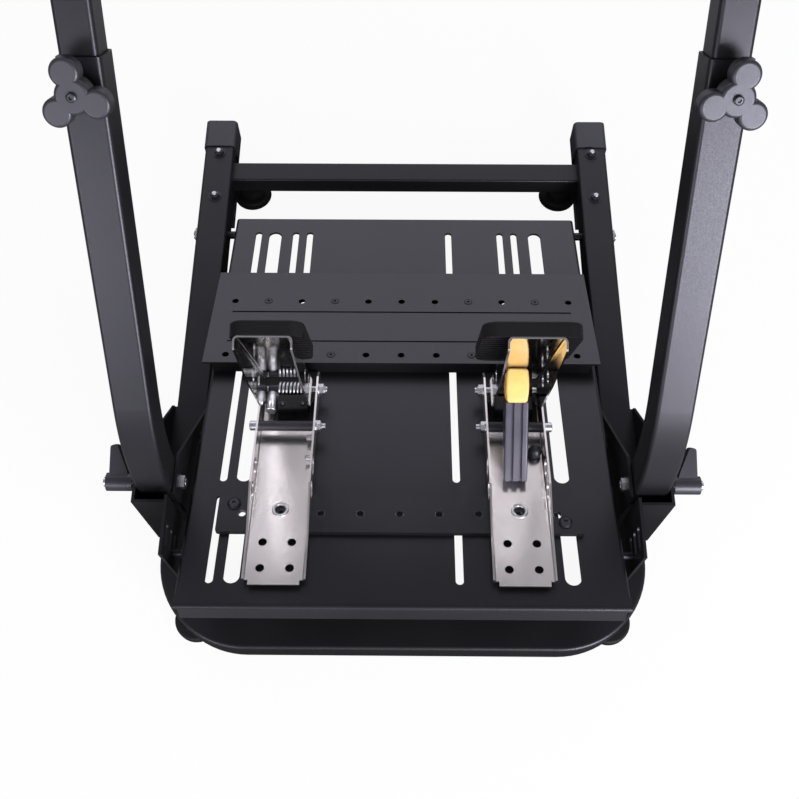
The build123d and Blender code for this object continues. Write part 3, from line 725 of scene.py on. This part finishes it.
@dataclass
class PedalTray:
    """Slotted pedal plate with its heel plate, adapter bar and screws."""

    pivot_v: float = 543.0
    pivot_h: float = -14.0
    rail_side: float = 269.0
    heel_v: float = 296.0
    heel_h: float = 16.0
    heel_drop: float = 13.5
    heel_length: float = 160.0
    heel_x: float = -3.0
    rows: Pair = (13.0, 106.0)
    pitch: float = 40.0
    screwed: tuple[int, ...] = (-4, -2, 2, 4)
    bar_t: float = 5.0
    bar_v: float = 103.0
    bar_holes: int = 9
    bar_screws: tuple[Pair, ...] = ((-172.0, 114.0), (164.0, 94.0))
    nut: Fastener = Fastener(
        Head.HEX, 9.2, 4.6, crown=0.9, crown_radius=7.9, stud=5.0, stud_out=1.0
    )
    screw: Fastener = Fastener(Head.SOCKET, 3.95, 2.4, crown=0.2, socket=1.8, sink=2.1)
    # Thin black rubber ring round each heel screw's head: painted shade in the gap round the head
    gap_shade_ring: Fastener = Fastener(Head.RING, 4.9, 0.12, socket=4.0)
    button: Fastener = Fastener(Head.SOCKET, 6.8, 1.0, crown=1.6, socket=2.2)
    bore: Fastener = Fastener(Head.RING, 3.98, 4.5, socket=3.85, sink=4.7)

    def heel_spots(self) -> list[Spot]:
        """Find the seats of the heel plate's screws.

        Returns:
            Seat and axis of each screw.
        """
        drop = math.asin(self.heel_drop / self.heel_length)
        axis = PLATE.direction(math.sin(drop), math.cos(drop))
        spots = []
        for row in self.rows:
            v = self.heel_v + row * math.cos(drop)
            h = self.heel_h - row * math.sin(drop)
            spots += [(PLATE.at(self.heel_x + i * self.pitch, v, h), axis) for i in self.screwed]
        return spots

    def build(self) -> None:
        """Dress the tray and set its screws and pivot nuts."""
        dress(("pedal_plate", "heel_plate", "adapter_bar"), POWDER_COAT)
        dress(("plate_pin_left", "plate_pin_right"), BLACK_OXIDE)
        pivots = [
            (PLATE.at(s * self.rail_side, self.pivot_v, self.pivot_h), along_x(s))
            for s in SIDES.values()
        ]
        self.nut.fit("plate_pivot_nuts", pivots, ZINC, "pedal_plate")
        self.screw.fit("heel_screws", self.heel_spots(), POWDER_COAT, "pedal_plate")
        # Painted shade: a thin black ring round each heel screw's head
        self.gap_shade_ring.fit("heel_screw_shade_rings", self.heel_spots(), RUBBER, "pedal_plate")
        up = PLATE.normal()
        seats = [(PLATE.at(x, v, self.bar_t), up) for x, v in self.bar_screws]
        self.button.fit("bar_screws", seats, BLACK_OXIDE, "pedal_plate")
        middle = (self.bar_holes - 1) / 2
        bores = [
            (PLATE.at(self.heel_x + (i - middle) * self.pitch, self.bar_v, self.bar_t), up)
            for i in range(self.bar_holes)
        ]
        self.bore.fit("bar_bores", bores, ZINC, "pedal_plate")


@dataclass
class Pedal:
    """One pedal: base, pivot, stop roller, arm and pad."""

    name: str
    x: float
    half: float = 31.0
    pivot: Pair = (254.0, 19.0)
    roller: Pair = (203.0, 20.0)
    fixing: Pair = (106.0, 7.0)
    cap_side: float = -1.0
    lean_deg: float = 29.7
    pad_face: float = 24.0
    pad_screws: Pair = (152.0, 186.0)
    # Black rubber spacer under the back of the base; its black also paints the shade seen through
    # the base's open floor
    spacer: Triple = (27.5, 247.0, 293.0)
    spacer_t: float = 4.9
    # Thin black rubber sheet on the base's floor between roller and pivot: painted shade and dark
    # reflection on that floor
    shade_sheet_left: float = -27.5
    shade_sheet_v: Pair = (213.0, 243.5)
    shade_sheet_t: float = 1.6
    shade_sheet_edge: float = 0.5
    nut: Fastener = Fastener(
        Head.HEX, 6.6, 4.4, crown=2.4, crown_radius=5.6, washer=7.4, washer_t=0.9, stud=3.6,
        stud_out=1.6,
    )
    small_nut: Fastener = Fastener(
        Head.HEX, 6.0, 4.0, crown=1.8, crown_radius=5.0, washer=6.8, washer_t=0.9, stud=3.0,
        stud_out=3.4,
    )
    cap: Fastener = Fastener(Head.SOCKET, 5.2, 7.2, crown=0.7, washer=5.8, washer_t=0.7, socket=2.6)
    flush: Fastener = Fastener(Head.SOCKET, 3.6, 0.9, socket=1.8, sink=0.5)
    insert_profile: tuple[Pair, ...] = (
        (5.2, -1.9), (6.4, -1.9), (6.4, 0.0), (8.8, 0.0), (8.8, 0.4), (8.0, 1.2), (6.2, 1.2),
        (5.2, 0.3),
    )

    def at_arm(self, u: float, w: float) -> Vector:
        """Give a point on the arm's middle line, u to its far side and w up from the pivot."""
        lean = math.radians(self.lean_deg)
        v = self.pivot[0] + u * math.cos(lean) - w * math.sin(lean)
        h = self.pivot[1] + u * math.sin(lean) + w * math.cos(lean)
        return PLATE.at(self.x, v, h)

    def far_side(self) -> Vector:
        """Give the direction that the pad faces."""
        lean = math.radians(self.lean_deg)
        return PLATE.direction(math.cos(lean), math.sin(lean))

    def build(self) -> None:
        """Dress the pedal and fit its nuts and screws."""
        looks = {
            "base": BASE_STEEL, "arm": ARM_STEEL, "pad": PAD_NYLON, "roller": NYLON, "pin": ZINC,
        }
        for part, finish in looks.items():
            dress((f"{self.name}_{part}",), finish)
        ends = [(PLATE.at(self.x + s * self.half, *self.pivot), along_x(s)) for s in SIDES.values()]
        self.nut.fit(self.name + "_pivot_nuts", ends, ZINC, "pedal_plate")
        stops = ((self.cap, self.cap_side, "bolt"), (self.small_nut, -self.cap_side, "nut"))
        for fastener, s, kind in stops:
            seat = [(PLATE.at(self.x + s * self.half, *self.roller), along_x(s))]
            fastener.fit(f"{self.name}_stop_{kind}", seat, ZINC, "pedal_plate")
        place = PLATE.stand(self.x, *self.fixing)
        insert = turned(self.name + "_insert", self.insert_profile, place, ring=True)
        place_piece(self.name + "_insert", insert, ZINC, "pedal_plate")
        # Rubber spacer, which also stands in for the shade under the base
        half, near, far = self.spacer
        low, high = (self.x - half, near, 0.0), (self.x + half, far, self.spacer_t)
        spacer = moulded_slab(self.name + "_spacer", low, high, PLATE.at)
        place_piece(self.name + "_spacer", spacer, RUBBER, "pedal_plate")
        # Painted shade and dark reflection: a thin black sheet on the base's floor
        near, far = self.shade_sheet_v
        level = self.fixing[1]
        low, high = (self.x + self.shade_sheet_left, near, level), (self.x + half, far, level + self.shade_sheet_t)
        shade_sheet = moulded_slab(self.name + "_mat", low, high, PLATE.at, self.shade_sheet_edge)
        place_piece(self.name + "_mat", shade_sheet, RUBBER, "pedal_plate")
        screws = [(self.at_arm(self.pad_face, w), self.far_side()) for w in self.pad_screws]
        self.flush.fit(self.name + "_pad_screws", screws, BLACK_OXIDE, self.name)


@dataclass
class Throttle(Pedal):
    """Throttle pedal with its torsion spring and sensor."""

    coil_radius: float = 7.4
    wire: float = 1.4
    coil_length: float = 26.0
    turns: float = 6.5
    bush_radius: float = 5.2
    bush_length: float = 48.0
    bush_edge: float = 0.6
    leg_reach: Pair = (16.0, 14.0)
    leg_drop: float = 7.0
    anchor_place: Triple = (-18.9, 222.0, 20.5)
    sensor_x: float = 4.5
    sensor_top: Pair = (230.0, 24.0)
    sensor_half: float = 11.0
    wall_t: float = 2.0
    peg_v: Pair = (164.0, 190.0)
    peg_h: float = 16.0
    anchor_profile: tuple[Pair, ...] = ((4.8, 0.0), (5.7, 0.9), (5.7, 24.1), (4.8, 25.0))
    pin: Fastener = Fastener(Head.PLAIN, 2.4, 1.2, crown=0.9)
    stud: Fastener = Fastener(Head.PLAIN, 3.2, 5.0, crown=1.6, washer=5.0, washer_t=1.0)

    def build(self) -> None:
        """Add the spring with its bush and anchor, the sensor's screws and the wall studs."""
        super().build()
        dress(("throttle_sensor",), PAD_NYLON)
        seed = bpy.data.meshes.new("coil_seed")
        mesh = grow(coil_tree(), seed, {
            "Coil radius": self.coil_radius * MM, "Wire radius": self.wire * MM,
            "Length": self.coil_length * MM, "Turns": self.turns, "Finish": WIRE.material(),
        })
        mesh.transform(PLATE.stand(self.x - self.coil_length / 2, *self.pivot))
        for face in mesh.polygons:
            face.use_smooth = True
        place_piece("torsion_spring", mesh, WIRE, "pedal_plate", ("throttle_spring",))
        v, h = self.pivot
        across = Matrix.Translation(PLATE.at(self.x, v, h)) @ Matrix.Rotation(math.pi / 2, 4, "Y")
        wide, edge, far = self.bush_radius, self.bush_edge, self.bush_length / 2
        profile = [(wide - edge, -far), (wide, edge - far), (wide, far - edge), (wide - edge, far)]
        place_piece("spring_bush", turned("spring_bush", profile, across), NYLON, "pedal_plate")
        near = v - self.coil_radius
        for (side, s), reach in zip(SIDES.items(), self.leg_reach):
            x, name = self.x + s * self.coil_length / 2, "spring_leg_" + side
            leg = [PLATE.at(x, near, h), PLATE.at(x, near - reach, h - self.leg_drop)]
            place_piece(name, bent_rod(name, leg, self.wire), WIRE, "pedal_plate")
        x, near, up = self.anchor_place
        place = PLATE.stand(self.x + x, near, up, lie_deg=90.0)
        anchor = turned("spring_anchor", self.anchor_profile, place)
        place_piece("spring_anchor", anchor, WIRE, "pedal_plate")
        middle = self.x + self.sensor_x
        tops = [
            (PLATE.at(middle + s * self.sensor_half, *self.sensor_top), PLATE.normal())
            for s in SIDES.values()
        ]
        self.pin.fit("sensor_screws", tops, BLACK_OXIDE, "pedal_plate")
        wall = self.x + self.half - self.wall_t
        pegs = [(PLATE.at(wall, end, self.peg_h), along_x(-1.0)) for end in self.peg_v]
        self.stud.fit("wall_studs", pegs, ZINC, "pedal_plate")


@dataclass
class Brake(Pedal):
    """Brake pedal with its strut, soft block and bump stop."""

    stop_x: float = 20.0
    stop_v: float = 176.0
    stop_profile: tuple[Pair, ...] = (
        (4.4, 0.0), (6.2, 1.0), (7.2, 4.4), (7.2, 7.8), (6.0, 11.2), (3.8, 13.4), (0.4, 14.2)
    )
    floor_h: float = 7.0
    strut_x: float = 115.5
    strut_v: float = 141.0
    strut_deg: float = 46.8
    strut_end: float = 85.0
    web_face: float = 7.0
    block_half: Pair = (10.3, 12.0)
    block_corner: float = 2.4
    block_edge: float = 0.9
    block_swell: float = 1.3
    block_rows: int = 16
    block_turns: int = 8
    pressed: float = 0.81

    def on_strut(self, x: float, off: float, t: float) -> Vector:
        """Give a point x and off from the strut's middle line, t up from its foot."""
        a = math.radians(self.strut_deg)
        v = self.strut_v + t * math.cos(a) - off * math.sin(a)
        h = self.floor_h + t * math.sin(a) + off * math.cos(a)
        return PLATE.at(self.strut_x + x, v, h)

    def block_top(self, off: float) -> float:
        """Find where the block meets the arm's web.

        Args:
            off: Distance from the strut's middle line in mm.

        Returns:
            The distance up the strut in mm.
        """
        lean, open_by = math.radians(self.lean_deg), math.radians(self.strut_deg - self.lean_deg)
        ahead, above = self.pivot[0] - self.strut_v, self.pivot[1] - self.floor_h
        back = ahead * math.cos(lean) + above * math.sin(lean)
        return (self.web_face + back + off * math.sin(open_by)) / math.cos(open_by)

    def soft_block(self) -> Mesh:
        """Cast the soft block: a rounded bar that swells at its middle.

        Returns:
            A closed mesh between the strut's end and the arm.
        """
        work = bmesh.new()
        rows, turns, loops = self.block_rows, self.block_turns, []
        for row in range(rows + 1):
            share = row / rows
            past_foot = self.block_edge if row else 0.0
            short_of_top = self.block_edge if row < rows else 0.0
            inset = self.block_edge if row in (0, rows) else 0.0
            swell = self.block_swell * math.sin(math.pi * share) - inset
            wide, deep = (half + swell - self.block_corner for half in self.block_half)
            loop = []
            for corner, (sx, sy) in enumerate(((1, 1), (-1, 1), (-1, -1), (1, -1))):
                for step in range(turns + 1):
                    angle = math.pi / 2 * (corner + step / turns)
                    x = sx * wide + self.block_corner * math.cos(angle)
                    off = sy * deep + self.block_corner * math.sin(angle)
                    long = self.block_top(off) - self.strut_end
                    up = min(max(share * long, past_foot), long - short_of_top)
                    loop.append(work.verts.new(self.on_strut(x, off, self.strut_end + up)))
            loops.append(loop)
        for low, high in zip(loops, loops[1:]):
            for i, point in enumerate(low):
                j = (i + 1) % len(low)
                work.faces.new((point, low[j], high[j], high[i])).smooth = True
        work.faces.new(loops[0])
        work.faces.new(loops[-1])
        bmesh.ops.recalc_face_normals(work, faces=work.faces[:])
        mesh = bpy.data.meshes.new("soft_block")
        work.to_mesh(mesh)
        work.free()
        return mesh

    def build(self) -> None:
        """Dress the strut, cast its block and add the bump stop."""
        super().build()
        dress(("brake_strut",), ANODISED)
        dress(("brake_stop", "brake_sleeve"), PAD_NYLON)
        mesh = self.soft_block()
        block = place_piece("soft_block", mesh, ELASTOMER, "pedal_plate", ("brake_block",))
        foot = self.on_strut(0.0, 0.0, self.strut_end)
        along = (self.on_strut(0.0, 0.0, self.strut_end + 1.0) - foot).normalized()
        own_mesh(block)
        place = PLATE.stand(self.x + self.stop_x, self.stop_v, self.floor_h)
        bump_stop = turned("bump_stop", self.stop_profile, place)
        place_piece("bump_stop", bump_stop, NYLON, "pedal_plate")


@dataclass
class Uprights:
    """Bent uprights in their brackets, with levers and knobs."""

    x: float = 251.0
    fold_y: float = -202.0
    fold_z: float = 160.0
    cheek_in: float = 229.0
    cheek_out: float = 273.0
    hub_end: float = 307.0
    cross_bolt: Pair = (-125.0, 92.0)
    slot_bolt: Pair = (-274.0, 150.0)
    wall_out: float = 236.0
    lean_deg: float = 36.0
    top: Pair = (19.6, 536.8)
    knob_down: float = 24.0
    knob_face: float = 46.0
    nut: Fastener = Fastener(
        Head.HEX, 7.4, 3.2, crown=0.8, crown_radius=6.4, stud=4.0, stud_out=0.6
    )
    washer: Fastener = Fastener(Head.PLAIN, 9.0, 1.6, crown=0.2)
    bolt: Fastener = Fastener(
        Head.HEX, 7.0, 4.4, crown=0.6, crown_radius=6.0, washer=9.0, washer_t=1.2
    )
    plate_bolt: Fastener = Fastener(
        Head.HEX, 7.0, 4.4, crown=0.6, crown_radius=6.0, washer=8.0, washer_t=1.2, shank=15.0,
        shank_radius=4.0,
    )
    insert: Fastener = Fastener(Head.SOCKET, 3.8, 2.6, crown=0.5, socket=1.8, sink=0.5)
    lever_end: Fastener = Fastener(
        Head.SOCKET, 5.0, 3.4, crown=0.7, crown_radius=5.0, socket=2.4, sink=0.5
    )

    def knob_centre(self, s: float) -> Spot:
        """Find the middle of a knob's front face.

        Args:
            s: Side, -1 or 1.

        Returns:
            The point and the knob's axis.
        """
        lean = math.radians(self.lean_deg)
        front = Vector((0.0, -math.cos(lean), math.sin(lean)))
        down = Vector((0.0, math.sin(lean), math.cos(lean))) * self.knob_down
        foot = Vector((s * self.x, *self.top)) - down
        return (foot + front * self.knob_face) * MM, front

    def seat(self, s: float, x: float, yz: Pair, way: float) -> Spot:
        """Give a seat on side s, with its axis along X the way given."""
        return Vector((s * x, *yz)) * MM, along_x(way)

    def build(self) -> None:
        """Dress the uprights and brackets and fit their bolts."""
        fold = (self.fold_y, self.fold_z)
        inner, outer, cross, slots = [], [], [], []
        for side, s in SIDES.items():
            frames = ("upright_" + side, "bracket_inner_" + side, "bracket_outer_" + side)
            dress(frames, POWDER_COAT)
            dress(("clamp_lever_" + side, "knob_" + side), NYLON)
            dress(("fold_pin_" + side,), ZINC)
            inner.append(self.seat(s, self.cheek_in, fold, -s))
            outer.append(self.seat(s, self.cheek_out, fold, s))
            cross.append(self.seat(s, self.cheek_out, self.cross_bolt, s))
            cross.append(self.seat(s, self.cheek_in, self.cross_bolt, -s))
            slots.append(self.seat(s, self.wall_out, self.slot_bolt, s))
            hub, centre = [self.seat(s, self.hub_end, fold, s)], [self.knob_centre(s)]
            self.lever_end.fit("lever_insert_" + side, hub, ZINC, "lever_" + side)
            self.insert.fit("knob_insert_" + side, centre, BLACK_OXIDE, "knob_" + side)
        self.nut.fit("fold_nuts", inner, ZINC, "base")
        self.washer.fit("fold_washers", outer, ZINC, "base")
        self.bolt.fit("bracket_bolts", cross, BLACK_OXIDE, "base")
        self.plate_bolt.fit("plate_bolts", slots, BLACK_OXIDE, "base")


@dataclass
class WheelDeck:
    """Telescoping posts, cross beam and wheel deck."""

    x: float = 251.0
    half_post: float = 15.6
    drop_radius: float = 2.0
    pitch: float = 2.6
    weld_inset: float = 3.0
    plug_out: float = 2.8
    plug_in: float = 12.0
    plug_edge: float = 1.2
    plug_inset: float = 0.3
    plug_lap: float = 0.4
    beam_wall: float = 2.2

    def build(self) -> None:
        """Dress the deck, plug the beam and weld its posts to it."""
        for side in SIDES:
            dress(("post_" + side, "post_inner_" + side), POWDER_COAT)
        dress(("deck_beam", "wheel_deck"), POWDER_COAT)
        low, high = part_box("deck_beam")
        points, edges = [], []
        for s in SIDES.values():
            for y in (low.y + self.weld_inset * MM, high.y - self.weld_inset * MM):
                for end in SIDES.values():
                    points.append(Vector(((s * self.x + end * self.half_post) * MM, y, low.z)))
                edges.append((len(points) - 2, len(points) - 1))
        seed = bpy.data.meshes.new("weld_lines")
        seed.from_pydata(points, edges, [])
        mesh = grow(bead_tree(), seed, {
            "Drop radius": self.drop_radius * MM, "Pitch": self.pitch * MM,
            "Finish": POWDER_COAT.material(),
        })
        place_piece("beam_welds", mesh, POWDER_COAT, "deck")
        for side, s in SIDES.items():
            self.plug(side, s, low / MM, high / MM)

    def plug(self, side: str, s: float, low: Vector, high: Vector) -> None:
        """Close one end of the beam with a flanged plug.

        Args:
            side: Name of the side.
            s: Side, -1 or 1.
            low: Lowest corner of the beam in mm.
            high: Highest corner of the beam in mm.
        """
        end = high.x if s > 0 else low.x
        rows = (
            ("flange", 0.0, self.plug_out, self.plug_inset),
            ("core", -self.plug_in, self.plug_lap, self.beam_wall),
        )
        for part, start, stop, inset in rows:
            name = f"beam_plug_{part}_{side}"
            near, far = sorted((end + s * start, end + s * stop))
            mesh = moulded_slab(
                name, (near, low.y + inset, low.z + inset), (far, high.y - inset, high.z - inset),
                lambda *spot: Vector(spot) * MM, self.plug_edge,
            )
            place_piece(name, mesh, NYLON, "deck")


# Cool studio light: it gives the greys of the picture their trace of violet
COOL = linear("#f9f7ff")


@dataclass
class Softbox:
    """An oblong lamp that faces a point of the stand."""

    name: str
    place: Triple
    size: Pair
    watts: float
    aim: Triple = (0.0, 0.0, 0.15)

    def build(self) -> None:
        """Hang the lamp."""
        data = bpy.data.lights.new(self.name, "AREA")
        data.shape = "RECTANGLE"
        data.size, data.size_y = self.size
        data.energy = self.watts
        data.color = COOL[:3]
        lamp = new_object(self.name, data)
        lamp.location = self.place
        way = Vector(self.aim) - Vector(self.place)
        lamp.rotation_euler = way.to_track_quat("-Z", "Y").to_euler()


@dataclass
class Studio:
    """White floor, soft light and the camera."""

    eye: Triple = (1.99, -542.5, 1125.2)
    yaw_deg: float = -0.812
    pitch_deg: float = 65.674
    roll_deg: float = -0.406
    focal_px: float = 983.08
    image_px: float = 799.0
    sensor_mm: float = 36.0
    sight: float = 50.0
    floor_size: float = 14.0
    shadow: float = 0.07
    paper: str = "#f4f4f4"
    # Painted shadow pool: reflections see the floor dark near the stand and bright beyond it
    painted_shadow_colour: str = "#424242"
    floor_far: str = "#b0b0b0"
    painted_shadow_reach: Pair = (0.42, 0.56)
    sky_height: Pair = (0.2, 0.8)
    sky_level: Pair = (0.42, 0.32)
    lamps: list[Softbox] = field(default_factory=lambda: [
        Softbox("key_box", (1.35, -2.2, 1.0), (1.2, 1.1), 92.0),
        Softbox("fill_box", (-1.35, -2.2, 1.0), (1.2, 0.9), 22.0),
        Softbox("front_box", (0.1, -2.6, 0.95), (1.0, 1.0), 4.0),
        Softbox("back_box", (0.0, 2.6, 1.2), (3.4, 1.0), 20.5),
        Softbox("sky_box", (0.0, 1.9, 2.1), (3.2, 1.3), 7.6),
    ])

    def camera(self) -> None:
        """Stand the camera where the picture was taken."""
        yaw, pitch, roll = (math.radians(a) for a in (self.yaw_deg, self.pitch_deg, self.roll_deg))
        ahead = Vector((
            math.sin(yaw) * math.cos(pitch), math.cos(yaw) * math.cos(pitch), -math.sin(pitch)
        ))
        right = Vector((math.cos(yaw), -math.sin(yaw), 0.0))
        up = right.cross(ahead)
        across = math.cos(roll) * right + math.sin(roll) * up
        top = math.cos(roll) * up - math.sin(roll) * right
        data = bpy.data.cameras.new("camera")
        data.sensor_fit = "HORIZONTAL"
        data.sensor_width = self.sensor_mm
        data.lens = self.focal_px * data.sensor_width / self.image_px
        data.clip_end = self.sight
        eye = new_object("camera", data)
        turn = Matrix((across, top, -ahead)).transposed().to_4x4()
        eye.matrix_world = Matrix.Translation(Vector(self.eye) * MM) @ turn
        bpy.context.scene.camera = eye

    def floor(self) -> None:
        """Lay a white floor that keeps a soft shadow, with a painted shadow pool round the stand
        that only reflections see.
        """
        half = self.floor_size / 2
        mesh = bpy.data.meshes.new("floor")
        corners = [(-half, -half, 0.0), (half, -half, 0.0), (half, half, 0.0), (-half, half, 0.0)]
        mesh.from_pydata(corners, [], [(0, 1, 2, 3)])
        made = bpy.data.materials.new("white_paper_sweep")
        tree = blank_tree(made)
        path = add(tree, "ShaderNodeLightPath").outputs
        paper = add(tree, "ShaderNodeBsdfDiffuse", {"Color": linear(self.paper)})
        glow = add(tree, "ShaderNodeEmission", {"Color": (1.0, 1.0, 1.0, 1.0), "Strength": 1.0})
        white = add(tree, "ShaderNodeMixShader", {
            0: 1 - self.shadow, 1: paper.outputs["BSDF"], 2: glow.outputs["Emission"],
        })
        # Painted shadow round the stand, seen only by reflections: dark within the first distance,
        # bright past the second
        place = add(tree, "ShaderNodeTexCoord").outputs["Object"]
        reach = add(tree, "ShaderNodeVectorMath", {0: place}, operation="LENGTH").outputs["Value"]
        painted_shadow_reach = add(tree, "ShaderNodeMapRange", {
            "Value": reach, "From Min": self.painted_shadow_reach[0], "From Max": self.painted_shadow_reach[1],
        })
        shade = add(tree, "ShaderNodeMix", {
            "Factor": painted_shadow_reach.outputs["Result"], "A": linear(self.painted_shadow_colour),
            "B": linear(self.floor_far),
        }, data_type="RGBA")
        dim = add(tree, "ShaderNodeBsdfDiffuse", {"Color": shade.outputs["Result"]})
        mixed = add(tree, "ShaderNodeMixShader", {
            0: path["Is Camera Ray"], 1: dim.outputs["BSDF"], 2: white.outputs["Shader"],
        })
        add(tree, "ShaderNodeOutputMaterial", {"Surface": mixed.outputs["Shader"]})
        mesh.materials.append(made)
        sweep = new_object("floor", mesh)

    def sky(self) -> None:
        """Surround the stand with a white backdrop that dims towards the ceiling."""
        world = bpy.data.worlds.new("studio")
        tree = blank_tree(world)
        path = add(tree, "ShaderNodeLightPath").outputs
        way = add(tree, "ShaderNodeTexCoord").outputs["Generated"]
        height = add(tree, "ShaderNodeSeparateXYZ", {"Vector": way}).outputs["Z"]
        dim = add(tree, "ShaderNodeMapRange", {
            "Value": height, "From Min": self.sky_height[0], "From Max": self.sky_height[1],
            "To Min": self.sky_level[0], "To Max": self.sky_level[1],
        }).outputs["Result"]
        level = add(tree, "ShaderNodeMix", {
            "Factor": path["Is Camera Ray"], "A": dim, "B": 1.0,
        }, data_type="FLOAT").outputs["Result"]
        hue = add(tree, "ShaderNodeMix", {
            "Factor": path["Is Camera Ray"], "A": COOL, "B": linear("#ffffff"),
        }, data_type="RGBA").outputs["Result"]
        light = add(tree, "ShaderNodeBackground", {"Color": hue, "Strength": level})
        add(tree, "ShaderNodeOutputWorld", {"Surface": light.outputs["Background"]})
        bpy.context.scene.world = world

    def build(self) -> None:
        """Set up the view, floor, backdrop and lamps."""
        bpy.context.scene.view_settings.view_transform = "Standard"
        self.camera()
        self.floor()
        self.sky()
        for lamp in self.lamps:
            lamp.build()


def main() -> None:
    """Build the studio and every sub-assembly."""
    logging.basicConfig(level=logging.INFO, format="%(name)s: %(message)s")
    Studio().build()
    parts = (
        BaseFrame(), PedalTray(), Throttle("throttle", -124.0, shade_sheet_left=-13.0),
        Brake("brake", 118.5, cap_side=1.0), Uprights(), WheelDeck(),
    )
    for part in parts:
        part.build()
        LOG.info("finished %s", type(part).__name__)


if __name__ == "__main__":
    main()
